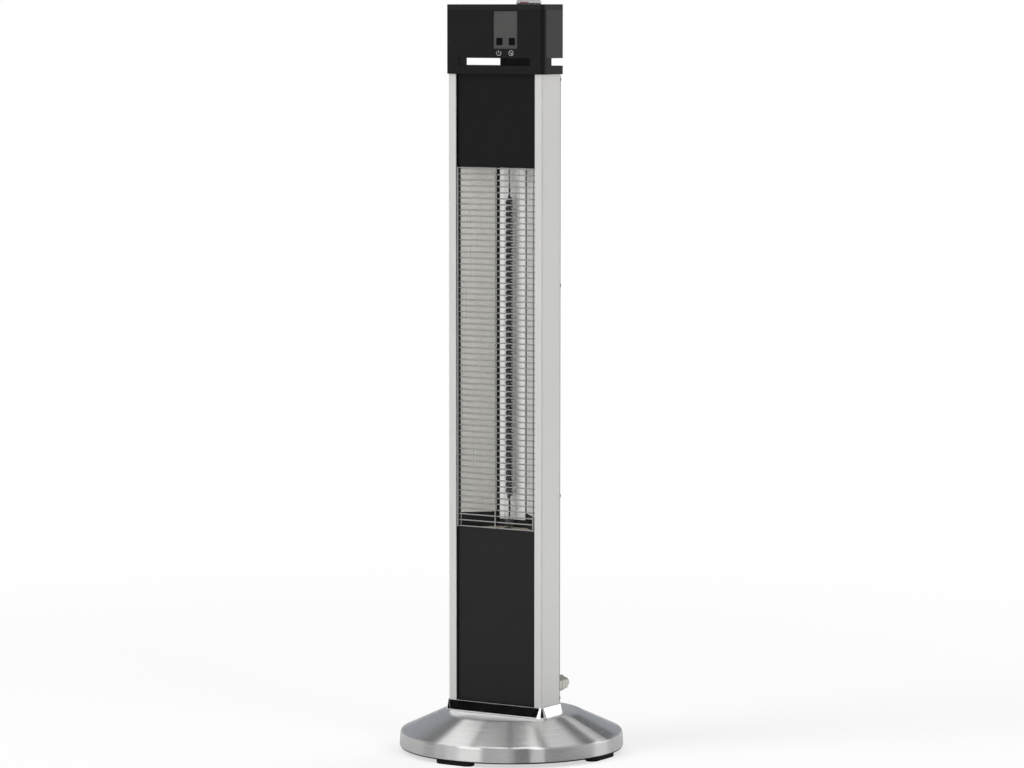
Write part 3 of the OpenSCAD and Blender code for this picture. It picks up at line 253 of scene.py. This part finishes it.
def spun_steel():
    """Brushed round the vertical axis, so its gloss fans out in wedges."""
    material, tree = new_material("spun_steel")
    parts = axes(tree, add(tree, "ShaderNodeTexCoord").outputs["Object"])
    flat = add(tree, "ShaderNodeCombineXYZ", {"X": parts["X"], "Y": parts["Y"]}).outputs[0]
    radius = vector_node(tree, "LENGTH", flat, output="Value")
    angle = math_node(tree, "ARCTAN2", parts["Y"], parts["X"])
    ring = add(tree, "ShaderNodeCombineXYZ", {
        "X": math_node(tree, "MULTIPLY", radius, RING_PITCH),
        "Y": math_node(tree, "MULTIPLY", angle, RING_RUN),
        "Z": math_node(tree, "MULTIPLY", parts["Z"], RING_PITCH)}).outputs[0]
    lines = noise(tree, ring, 2.4, 5.0, 0.7)
    broad = noise(tree, ring, 0.25, 2.0, 0.5)
    shade = ranged(tree, weighed(tree, lines, broad, 0.7), STREAK_LOW, STREAK_HIGH, 0.0, 1.0)
    gloss = ranged(tree, lines, NOISE_LOW, NOISE_HIGH, *SPUN_ROUGH)
    finish_with(tree, principled(tree, {
        "Base Color": two_tone(tree, shade, SPUN_DARK, SPUN_LIGHT), "Roughness": gloss,
        "Metallic": SPUN_METAL, "Normal": bumped(tree, lines, SPUN_DEPTH),
        "Tangent": round_upright_axis(tree), "Anisotropic": 1.0,
        "Anisotropic Rotation": SPUN_TURN}))
    return material


def drawn_metal(name, color, rough, anisotropic, spread, metal, lines=(900, 900, 6), depth=0.004):
    """Extruded or rolled metal with fine lines along one axis."""
    material, tree = new_material(name)
    streak = noise(tree, object_point(tree, lines), 1.0, 4.0, 0.65)
    cloud = noise(tree, object_point(tree), 9.0, 3.0, 0.5)
    shade = ranged(tree, weighed(tree, streak, cloud, 0.6), STREAK_LOW, STREAK_HIGH, 0.0, 1.0)
    tone = two_tone(tree, shade, scaled(color, 1 - spread), scaled(color, 1 + spread))
    gloss = ranged(tree, streak, NOISE_LOW, NOISE_HIGH, rough - DRAWN_UNEVEN, rough + DRAWN_UNEVEN)
    finish_with(tree, principled(tree, {
        "Base Color": tone, "Roughness": gloss, "Metallic": metal,
        "Normal": bumped(tree, streak, depth * MM, DRAWN_EDGE),
        "Tangent": round_upright_axis(tree), "Anisotropic": anisotropic}))
    return material


def reflector_sheet(name, dark, light, metal):
    """Bright rolled aluminium with faint waves and streaks along its height."""
    material, tree = new_material(name)
    streak = noise(tree, object_point(tree, (500, 500, 3)), 1.0, 4.0, 0.6)
    wave = noise(tree, object_point(tree, (30, 30, 5)), 1.0, 2.0, 0.5)
    shade = ranged(tree, streak, NOISE_LOW, NOISE_HIGH, 0.0, 1.0)
    gloss = ranged(tree, streak, NOISE_LOW, NOISE_HIGH, *SHEET_ROUGH)
    height = math_node(tree, "ADD", math_node(tree, "MULTIPLY", wave, 2.0),
                       math_node(tree, "MULTIPLY", streak, 0.5))
    finish_with(tree, principled(tree, {
        "Base Color": two_tone(tree, shade, dark, light), "Roughness": gloss,
        "Metallic": metal, "Normal": bumped(tree, height, SHEET_DEPTH)}))
    return material


# Clear walls

EDGE_FROM = 0.35
EDGE_LEAST = 0.02
FILM_DARK = 0.95
HAZE_LEAST, HAZE_MOST = 0.7, 1.3


def clear_sheet(name, color, rough, film, edge_gloss):
    """Thin see-through wall with a faint film, and gloss that grows towards its edges."""
    material, tree = new_material(name)
    blur = noise(tree, object_point(tree, (1, 1, 0.3)), 140.0, 3.0, 0.6)
    tone = two_tone(tree, blur, scaled(color, FILM_DARK), color)
    haze = ranged(tree, blur, NOISE_LOW, NOISE_HIGH, rough * HAZE_LEAST, rough * HAZE_MOST)
    clear = add(tree, "ShaderNodeBsdfTransparent", {"Color": tone}).outputs[0]
    body = principled(tree, {"Base Color": tone, "Roughness": haze})
    gloss = add(tree, "ShaderNodeBsdfGlossy", {"Color": WHITE, "Roughness": haze}).outputs[0]
    facing = add(tree, "ShaderNodeLayerWeight", {"Blend": 0.5}).outputs["Facing"]
    edge = ranged(tree, facing, EDGE_FROM, 1.0, EDGE_LEAST, edge_gloss, smooth=True)
    finish_with(tree, mixed(tree, edge, mixed(tree, film, clear, body), gloss))
    return material


# Finishes, one for each of the record's material slots

def specular(level):
    return {"Specular IOR Level": level}


MATT = specular(0.12)
SATIN = specular(0.25)
SCREW = dict(fineness=1800, depth=0.006, uneven=0.08, edge=0.2)
PANEL = dict(spread=0.1, mottle=25, fineness=1400, depth=0.03, uneven=0.05, edge=0.4)
MOULDED = dict(rough=0.38, spread=0.12, mottle=40, fineness=1500, depth=0.03, uneven=0.05,
               edge=0.7)
INNER = dict(mottle=90, fineness=1300, edge=0.3)

FINISHES = {
    "chrome": dict(
        color=(0.86, 0.86, 0.87), rough=0.035, metal=1.0, spread=0.02, mottle=30, fineness=300,
        depth=0.001, uneven=0.015, edge=0.8),
    "grille_wire": dict(
        color=(0.36, 0.36, 0.355), rough=0.24, metal=1.0, spread=0.06, mottle=80,
        grain=(0.1, 1, 1), fineness=1500, depth=0.003, uneven=0.05),
    "shield_steel": dict(
        color=(0.02, 0.02, 0.02), rough=0.5, metal=0.4, spread=0.2, mottle=40,
        grain=(1, 1, 0.2), fineness=700, uneven=0.08),
    "black_steel": dict(
        color=(0.008, 0.008, 0.008), rough=0.5, spread=0.15, mottle=50, fineness=1600,
        depth=0.05, **MATT),
    "cast_iron": dict(
        color=(0.06, 0.058, 0.055), rough=0.7, metal=0.5, spread=0.25, mottle=90, fineness=700,
        depth=0.15, uneven=0.08),
    "zinc_screw": dict(
        SCREW, color=(0.62, 0.62, 0.60), rough=0.3, metal=1.0, spread=0.1, mottle=300),
    "zinc_plate": dict(
        color=(0.52, 0.53, 0.53), rough=0.38, metal=1.0, spread=0.12, mottle=120, depth=0.01,
        uneven=0.08),
    "black_screw": dict(
        SCREW, color=(0.02, 0.02, 0.02), rough=0.35, metal=0.3, spread=0.2, mottle=400,
        fineness=2000, depth=0.01),
    "spring_steel": dict(
        color=(0.55, 0.54, 0.52), rough=0.28, metal=1.0, spread=0.1, mottle=200,
        grain=(0.2, 1, 1), fineness=1500, depth=0.006, uneven=0.08),
    "gland_nickel": dict(
        color=(0.52, 0.50, 0.46), rough=0.08, metal=1.0, mottle=160, fineness=1200, depth=0.002,
        uneven=0.03, edge=0.4),
    "lead_metal": dict(
        color=(0.03, 0.03, 0.03), rough=0.4, metal=0.6, spread=0.2, mottle=500,
        grain=(1, 1, 0.2), fineness=1500, uneven=0.08),
    "panel_black": dict(PANEL, color=(0.0052, 0.0051, 0.0049), rough=0.46, **MATT),
    "rear_black": dict(
        PANEL, color=(0.012, 0.012, 0.0118), rough=0.45, depth=0.05, uneven=0.06, **SATIN),
    "rubber": dict(
        color=(0.009, 0.009, 0.009), rough=0.75, spread=0.2, mottle=120, fineness=1100,
        depth=0.06, uneven=0.08, edge=0.4, **MATT),
    "carbon": dict(
        color=(0.004, 0.004, 0.004), rough=0.5, spread=0.4, mottle=700, grain=(1, 1, 4),
        fineness=2500, depth=0.05, uneven=0.1, **MATT),
    "ceramic": dict(INNER, color=(0.80, 0.78, 0.72), rough=0.6, spread=0.05, depth=0.03),
    "wire_sleeve": dict(
        color=(0.32, 0.045, 0.03), rough=0.5, spread=0.15, mottle=300, grain=(1, 1, 0.4),
        fineness=1800, depth=0.05, uneven=0.08),
    "terminal_plastic": dict(
        INNER, color=(0.72, 0.70, 0.62), rough=0.5, spread=0.05, fineness=1200),
    "switch_plastic": dict(
        INNER, color=(0.012, 0.012, 0.012), rough=0.4, spread=0.15, depth=0.03, **SATIN),
    "head_plastic": dict(MOULDED, color=(0.0095, 0.0094, 0.0092), **specular(0.32)),
    "fascia_plastic": dict(MOULDED, color=(0.0062, 0.0061, 0.006), **MATT),
    "window_grey": dict(
        color=(0.066, 0.0655, 0.064), rough=0.2, spread=0.05, fineness=1800, depth=0.006,
        uneven=0.04, edge=0.3, **MATT),
    "button_black": dict(
        color=(0.0015, 0.0015, 0.0015), rough=0.42, spread=0.15, mottle=300, fineness=1800,
        uneven=0.05, edge=0.3, **specular(0.06)),
    "board_green": dict(
        color=(0.02, 0.10, 0.04), rough=0.3, spread=0.3, mottle=500, uneven=0.08),
    "relay_blue": dict(
        color=(0.02, 0.045, 0.16), rough=0.35, mottle=90, fineness=1300, depth=0.01,
        uneven=0.05, edge=0.4),
    "led_red": dict(
        color=(0.5, 0.04, 0.03), rough=0.12, spread=0.1, mottle=200, depth=0.004, uneven=0.04,
        **{"Transmission Weight": 0.4}),
    "rocker_red": dict(
        color=(0.50, 0.006, 0.005), rough=0.25, mottle=150, fineness=1500, depth=0.01,
        edge=0.5),
    "sign_print": dict(
        color=(0.52, 0.52, 0.51), rough=0.5, spread=0.05, mottle=900, fineness=3000,
        depth=0.004, uneven=0.05, **MATT),
}
MATERIALS = {name: surface(name, **values) for name, values in FINISHES.items()}
MATERIALS.update({
    "spun_steel": spun_steel(),
    "profile_aluminium": drawn_metal(
        "profile_aluminium", (0.64, 0.635, 0.62), 0.45, anisotropic=0.4, spread=0.035,
        metal=0.6),
    "chamber_sheet": drawn_metal(
        "chamber_sheet", (0.62, 0.56, 0.45), 0.5, anisotropic=0.3, spread=0.08, metal=0.15,
        lines=(300, 8, 300), depth=0.006),
    "reflector": reflector_sheet(
        "reflector", (0.95, 0.95, 0.935), (0.99, 0.99, 0.975), metal=0.38),
    "quartz": clear_sheet("quartz", (0.985, 0.99, 0.99), 0.05, film=0.015, edge_gloss=0.45),
    "boot_clear": clear_sheet(
        "boot_clear", (0.83, 0.83, 0.835), 0.2, film=0.015, edge_gloss=0.2),
})

# Nodes whose finish differs a little from the others of their slot, and the left reflector wing,
# whose darker, warmer tone is painted shade
VARIANTS = {
    "front_panel_lower": surface(
        "lower_panel_black", color=(0.0085, 0.0083, 0.008), rough=0.40, **PANEL,
        **specular(0.2)),
    # Painted shade: the left wing gets a darker, warmer copy of the reflector sheet's tone
    "reflector_left": reflector_sheet(
        "left_reflector_painted_shade", (0.76, 0.745, 0.69), (0.84, 0.825, 0.77), metal=0.55),
    "head_base": surface(
        "base_plastic", color=(0.004, 0.0039, 0.0038), **MOULDED, **specular(0.16)),
    "head_lid": surface(
        "lid_plastic", color=(0.0055, 0.0054, 0.0053), **MOULDED, **specular(0.2)),
}

slots = {part["node"]: part["material_slot"] for part in frame["record"]["subparts"]}
for node, name in slots.items():
    cad = frame["nodes"][node]
    cad.data.materials.clear()
    cad.data.materials.append(VARIANTS.get(node, MATERIALS[name]))


# New pieces

SHARP_ANGLE = math.radians(35)


def piece(name, mesh_maker, body, slot, finish=None):
    mesh = bpy.data.meshes.new(name)
    form = bmesh.new()
    mesh_maker(form)
    bmesh.ops.recalc_face_normals(form, faces=form.faces)
    form.to_mesh(mesh)
    form.free()
    made = placed(name, mesh)
    mesh.materials.append(MATERIALS[finish or slot])
    for face in mesh.polygons:
        face.use_smooth = True
    mesh.set_sharp_from_angle(angle=SHARP_ANGLE)
    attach(made, body)
    return made


def tube_rings(form, rings, closed=False):
    """Skin over rings of points, closed by end faces or round on itself."""
    rows = [[form.verts.new(p) for p in ring] for ring in rings]
    pairs = list(zip(rows, rows[1:])) + ([(rows[-1], rows[0])] if closed else [])
    for a, b in pairs:
        for k in range(len(a)):
            n = (k + 1) % len(a)
            form.faces.new((a[k], a[n], b[n], b[k]))
    if not closed:
        form.faces.new(rows[0][::-1])
        form.faces.new(rows[-1])


# Carbon spiral: a flat-wound strand with rounded edges, wider than the CAD's on the same path

COIL_TURNS = 49
COIL_LENGTH = 392 * MM
COIL_RADIUS = 4.15 * MM
COIL_EASE = 0.75
COIL_STEPS = 22
COIL_LEAST = 0.02
LOOK_AHEAD = 0.02
STRAND_W = 4.7 * MM
STRAND_T = 1.5 * MM
STRAND_SIDES = 12
STRAND_BLUNT = 0.6
SHRINK_W, SHRINK_T = 0.95, 0.94
FRAY, FRAY_FINE, FRAY_SLOW = 0.05, 31, 17.3
lamp_x, lamp_y = middle("quartz_tube").x, middle("quartz_tube").y
coil_start = (low("grille").z + high("grille").z - COIL_LENGTH) / 2


def coil_at(turn):
    """Point on the strand's middle line; its ends ease in to the lamp's axis."""
    share = 1.0
    if turn < 0:
        share = 1 + turn / COIL_EASE
    elif turn > COIL_TURNS:
        share = 1 - (turn - COIL_TURNS) / COIL_EASE
    angle = math.tau * turn
    reach = COIL_RADIUS * max(share, COIL_LEAST)
    return Vector((lamp_x + reach * math.cos(angle), lamp_y + reach * math.sin(angle),
                   coil_start + COIL_LENGTH * turn / COIL_TURNS))


def spiral_form(form):
    rings = []
    total = round((COIL_TURNS + 2 * COIL_EASE) * COIL_STEPS)
    for i in range(total + 1):
        turn = i / COIL_STEPS - COIL_EASE
        ahead = coil_at(min(turn + LOOK_AHEAD, COIL_TURNS + COIL_EASE))
        way = (ahead - coil_at(max(turn - LOOK_AHEAD, -COIL_EASE))).normalized()
        out = Vector((math.cos(math.tau * turn), math.sin(math.tau * turn), 0))
        side = way.cross(out).normalized()
        fray = 1 + FRAY * math.sin(FRAY_FINE * turn) * math.sin(FRAY_SLOW * turn)
        ring = []
        for k in range(STRAND_SIDES):
            a = math.tau * k / STRAND_SIDES
            ca, sa = math.cos(a), math.sin(a)
            flat = abs(ca) ** STRAND_BLUNT * (1 if ca >= 0 else -1)
            ring.append(coil_at(turn) + out * flat * STRAND_T / 2 * SHRINK_T
                        + side * sa * STRAND_W / 2 * fray * SHRINK_W)
        rings.append(ring)
    tube_rings(form, rings)


spiral = piece("carbon_filament", spiral_form, "tower", "carbon")
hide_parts("carbon_spiral")


# Ends of the strand, frayed and drawn out along the axis

TAIL_STEPS = 40
TAIL_SIDES = 10
TAIL_SWAY, TAIL_CALM = 1.5 * MM, 0.3
TAIL_DRIFT, TAIL_TURN = 0.5, 7
TAIL_FRAY, TAIL_FINE, TAIL_SLOW = 0.22, 23, 9.1
TAIL_FLAT = 0.7
DOWN, UPWARD = -1, 1
LOWER_TAIL = (DOWN, 26 * MM, 1.5 * MM, 0.8 * MM)
UPPER_TAIL = (UPWARD, 18 * MM, 1.3 * MM, 0.5 * MM)


def tail_form(way, length, thick, thin):
    """A wavering strand from the coil's end that thins out over its length."""
    def form_maker(form):
        start = coil_at(-COIL_EASE if way == DOWN else COIL_TURNS + COIL_EASE)
        rings = []
        for i in range(TAIL_STEPS + 1):
            share = i / TAIL_STEPS
            sway = TAIL_SWAY * math.sin(math.pi * share) * (1 - TAIL_CALM * share)
            drift = TAIL_DRIFT * sway * math.cos(TAIL_TURN * share)
            centre = start + Vector((sway, drift, way * length * share))
            size = thick + (thin - thick) * share
            size *= 1 + TAIL_FRAY * math.sin(TAIL_FINE * share) * math.sin(TAIL_SLOW * share)
            ring = []
            for k in range(TAIL_SIDES):
                a = math.tau * k / TAIL_SIDES
                around = Vector((math.cos(a) * size, math.sin(a) * size * TAIL_FLAT, 0))
                ring.append(centre + around)
            rings.append(ring)
        tube_rings(form, rings)
    return form_maker


piece("strand_tail_lower", tail_form(*LOWER_TAIL), "tower", "carbon")
piece("strand_tail_upper", tail_form(*UPPER_TAIL), "tower", "carbon")


# Signs under the buttons: a power ring with its bar, and a clock ring with two hands

SIGN_LIFT = 0.02 * MM
SIGN_R = 3.3 * MM
SIGN_LINE = 0.42 * MM
SIGN_DROP = 15.1 * MM
RING_STEPS = 40
POWER_SHIFT, TIMER_SHIFT = 0.4 * MM, 0.6 * MM
POWER_LINE = SIGN_LINE * 1.35
POWER_GAP_END, POWER_SWEEP = math.radians(46), math.radians(268)
POWER_BAR = (0.0, SIGN_R * 1.3, POWER_LINE, -SIGN_R * 0.15)
TIMER_LINE = SIGN_LINE * 1.3
THIN_HAND = (math.radians(-45), SIGN_R * 0.5, SIGN_LINE * 1.1)
BROAD_HAND = (math.radians(135), SIGN_R * 0.85, SIGN_LINE * 2.6, -0.2 * MM)
front_face = low("head_fascia").y


def flat_bar(form, x, z, angle, length, width, start=0.0):
    """A thin bar on the fascia, its angle turned from upright towards +X."""
    way = Vector((math.sin(angle), 0, math.cos(angle)))
    side = Vector((math.cos(angle), 0, -math.sin(angle)))
    centre = Vector((x, front_face - SIGN_LIFT, z))
    tail, tip = centre + way * start, centre + way * (start + length)
    front = [tail + side * width / 2, tail - side * width / 2,
             tip - side * width / 2, tip + side * width / 2]
    back = [p + Vector((0, SIGN_LIFT * 2, 0)) for p in front]
    tube_rings(form, (front, back))


def arc_ring(form, x, z, radius, width, start, sweep):
    """A thin ring or arc on the fascia, from its start angle on."""
    closed = sweep == math.tau
    rings = []
    for i in range(RING_STEPS + (0 if closed else 1)):
        a = start + sweep * i / RING_STEPS
        way = Vector((math.sin(a), 0, math.cos(a)))
        centre = Vector((x, front_face, z))
        outer, inner = centre + way * (radius + width / 2), centre + way * (radius - width / 2)
        lift = Vector((0, SIGN_LIFT, 0))
        rings.append([outer - lift, inner - lift, inner + lift, outer + lift])
    tube_rings(form, rings, closed)


def power_sign(form):
    x = middle("button_power").x - POWER_SHIFT
    z = middle("button_power").z - SIGN_DROP
    arc_ring(form, x, z, SIGN_R, POWER_LINE, POWER_GAP_END, POWER_SWEEP)
    flat_bar(form, x, z, *POWER_BAR)


def timer_sign(form):
    x = middle("button_timer").x - TIMER_SHIFT
    z = middle("button_timer").z - SIGN_DROP
    arc_ring(form, x, z, SIGN_R, TIMER_LINE, 0.0, math.tau)
    flat_bar(form, x, z, *THIN_HAND)
    flat_bar(form, x, z, *BROAD_HAND)


piece("power_sign", power_sign, "tower", "window_grey", "sign_print")
piece("timer_sign", timer_sign, "tower", "window_grey", "sign_print")


# Directions, by a bearing from -Y towards +X and a rise, both in degrees

def heading(bearing, rise):
    a, e = math.radians(bearing), math.radians(rise)
    return math.sin(a) * math.cos(e), -math.cos(a) * math.cos(e), math.sin(e)


def straight_rays(tree, rays):
    """1 for rays from the camera, also those that came through a clear wall."""
    return math_node(tree, "MAXIMUM", rays["Is Camera Ray"], rays["Is Transmission Ray"])


# Floor, white in the camera's view but for the object's shadow
#
# Glossy rays see painted shade in it: its glow is darker near the object, a painted shadow of
# the object, and darker still round one bearing, a painted dark reflection as if a dark cloth
# lay there.

FLOOR_R = 30.0
FLOOR_SIDES = 64
FLOOR_GREY = (0.86, 0.86, 0.86)
CLEAR_FROM, CLEAR_TO, CLEAR_LEAST = 0.5, 2.2, 0.62
SHADE_FROM, SHADE_TO, SHADE_LEAST = 0.15, 0.8, 0.5
DARK_PATCH_BEARING = 58
DARK_PATCH_FROM, DARK_PATCH_TO, DARK_PATCH_LEVEL = 0.86, 0.94, 0.35

floor_mesh = bpy.data.meshes.new("floor")
corners = [math.tau * k / FLOOR_SIDES for k in range(FLOOR_SIDES)]
floor_mesh.from_pydata([(FLOOR_R * math.cos(a), FLOOR_R * math.sin(a), 0) for a in corners],
                       [], [list(range(FLOOR_SIDES))])
floor = placed("floor", floor_mesh)
floor_material, tree = new_material("floor")
place = add(tree, "ShaderNodeTexCoord").outputs["Object"]
away = vector_node(tree, "LENGTH", place, output="Value")
rays = add(tree, "ShaderNodeLightPath").outputs
clear = ranged(tree, away, CLEAR_FROM, CLEAR_TO, CLEAR_LEAST, 1.0, smooth=True)
share = math_node(tree, "MULTIPLY", straight_rays(tree, rays), clear)
share = math_node(tree, "MAXIMUM", share, rays["Is Glossy Ray"])
# Painted shadow: the glow that glossy rays see is dimmed near the object
painted_shade = ranged(tree, away, SHADE_FROM, SHADE_TO, SHADE_LEAST, 1.0, smooth=True)
# Painted dark reflection: the glow dims further round one bearing, as if a dark cloth lay there
outward = vector_node(tree, "NORMALIZE", place)
dark_patch = vector_node(tree, "DOT_PRODUCT", outward, heading(DARK_PATCH_BEARING, 0), output="Value")
dark_patch = ranged(tree, dark_patch, DARK_PATCH_FROM, DARK_PATCH_TO, 1.0, DARK_PATCH_LEVEL, smooth=True)
painted_shade = math_node(tree, "MULTIPLY", painted_shade, dark_patch)
not_glossy = math_node(tree, "SUBTRACT", 1.0, rays["Is Glossy Ray"])
level = math_node(tree, "MAXIMUM", painted_shade, not_glossy)
matt = add(tree, "ShaderNodeBsdfDiffuse", {"Color": rgba(FLOOR_GREY)}).outputs[0]
glow = add(tree, "ShaderNodeEmission", {"Color": WHITE, "Strength": level}).outputs[0]
finish_with(tree, mixed(tree, share, matt, glow))
floor_mesh.materials.append(floor_material)


# World: white to the camera, a soft studio to metal and gloss
#
# The studio's light bars follow the wedges that brushed rings show: they are set out by the
# bearing of the direction halfway between a ray and the photograph's viewpoint, one row for
# upright walls and one for slopes. A row gives bearings, seen from that viewpoint, and levels.

VIEW_BEARING, VIEW_RISE = 32.3, 8
LEAN_FROM, LEAN_TO = 0.42, 0.66
PLAIN_LEVEL = 0.5
COOL = (0.30, 0.32, 0.35)
WALL_BARS = [
    (-90, 0.55), (-36.5, 0.55), (-34.5, 1.7), (-16.3, 1.7), (-15, 0.3), (0, 0.45), (3, 0.1),
    (9.4, 0.1), (10.3, 2.2), (16, 2.2), (17.5, 0.42), (46, 0.45), (49, 1.5), (59, 1.5),
    (61.5, 0.5), (90, 0.45)]
SLOPE_BARS = [
    (-90, COOL), (-62, COOL), (-50, 0.15), (-44, 0.16), (-41, 1.15), (-23, 1.2), (-20.5, 0.2),
    (-18, 0.9), (-3, 1.8), (-1.5, 0.3), (0, 0.3), (1.2, 2.0), (14, 1.6), (15.5, 0.1),
    (18, 0.1), (20, 0.85), (36, 0.72), (42, 0.1), (48, 0.12), (51, 1.1), (57, 1.0),
    (59, 0.15), (64, COOL), (90, COOL)]

# Dimmed round patches of the studio: bearing, rise, radius and soft rim in degrees, and level
DARK_SPOTS = [
    (-33, 17, 6, 3, 0.0), (-37, 28, 6, 4, 0.2), (58, 18, 7, 3, 0.0), (-62, 7, 7, 3, 0.0),
    (160, 25, 9, 4, 0.05), (196, 27, 6, 3, 0.05)]
GRAIN_SCALE = 450.0
GRAIN_FROM, GRAIN_TO, GRAIN_LEAST, GRAIN_MOST = 0.6, 0.74, 0.002, 0.3

world = bpy.data.worlds.new("world")
world.use_nodes = True
bpy.context.scene.world = world
tree = world.node_tree
tree.nodes.clear()
ray = add(tree, "ShaderNodeTexCoord").outputs["Generated"]


def dark_spot(bearing, rise, radius, soft, level):
    towards = vector_node(tree, "DOT_PRODUCT", ray, heading(bearing, rise), output="Value")
    outer, inner = math.cos(math.radians(radius + soft)), math.cos(math.radians(radius))
    return ranged(tree, towards, outer, inner, 1.0, level, smooth=True)


def bars(value, row):
    """Light along a value that runs from 0 at -90 degrees to 1 at 90."""
    return ramped(tree, value, [((bearing + 90) / 180, level) for bearing, level in row])


def background(color, strength):
    inputs = {"Color": color, "Strength": strength}
    return add(tree, "ShaderNodeBackground", inputs).outputs[0]


halfway = vector_node(tree, "ADD", ray, heading(VIEW_BEARING, VIEW_RISE))
parts = axes(tree, vector_node(tree, "NORMALIZE", halfway))
bearing = math_node(tree, "ARCTAN2", parts["X"], math_node(tree, "MULTIPLY", parts["Y"], -1.0))
bearing = math_node(tree, "SUBTRACT", bearing, math.radians(VIEW_BEARING))
bearing = ranged(tree, bearing, -math.pi / 2, math.pi / 2, 0.0, 1.0)
lean = ranged(tree, parts["Z"], LEAN_FROM, LEAN_TO, 0.0, 1.0, smooth=True)
light = two_tone(tree, lean, bars(bearing, WALL_BARS), bars(bearing, SLOPE_BARS))
dim = 1.0
for dark in DARK_SPOTS:
    dim = math_node(tree, "MULTIPLY", dim, dark_spot(*dark))
grains = noise(tree, ray, GRAIN_SCALE, 4.0, 0.75)
grains = ranged(tree, grains, GRAIN_FROM, GRAIN_TO, GRAIN_LEAST, GRAIN_MOST)
dim = math_node(tree, "MAXIMUM", dim, grains)
light = add(tree, "ShaderNodeVectorMath", {0: light, "Scale": dim}, operation="SCALE").outputs[0]
rays = add(tree, "ShaderNodeLightPath").outputs
studio = mixed(tree, rays["Is Glossy Ray"],
               background(WHITE, PLAIN_LEVEL), background(light, 1.0))
seen = mixed(tree, straight_rays(tree, rays), studio, background(WHITE, 1.0))
add(tree, "ShaderNodeOutputWorld", {"Surface": seen})


# Soft lamps, which the glossy studio above stands in for in reflections

LAMP_AIM = Vector((0.0, 0.0, 0.5))


def soft_lamp(name, bearing, rise, distance, width, height, watts):
    data = bpy.data.lights.new(name, "AREA")
    data.shape = "RECTANGLE"
    data.size = width
    data.size_y = height
    data.energy = watts
    lamp = placed(name, data)
    lamp.visible_glossy = False
    way = Vector(heading(bearing, rise))
    lamp.location = LAMP_AIM + way * distance
    lamp.rotation_mode = "QUATERNION"
    lamp.rotation_quaternion = (-way).to_track_quat("-Z", "Y")


soft_lamp("key", -32, 40, 4.4, width=1.8, height=2.2, watts=90)
soft_lamp("side", 72, 22, 4.2, width=1.4, height=2.2, watts=42)
soft_lamp("top", 20, 82, 3.4, width=2.0, height=2.0, watts=20)
soft_lamp("back", 165, 35, 4.0, width=1.6, height=1.8, watts=40)
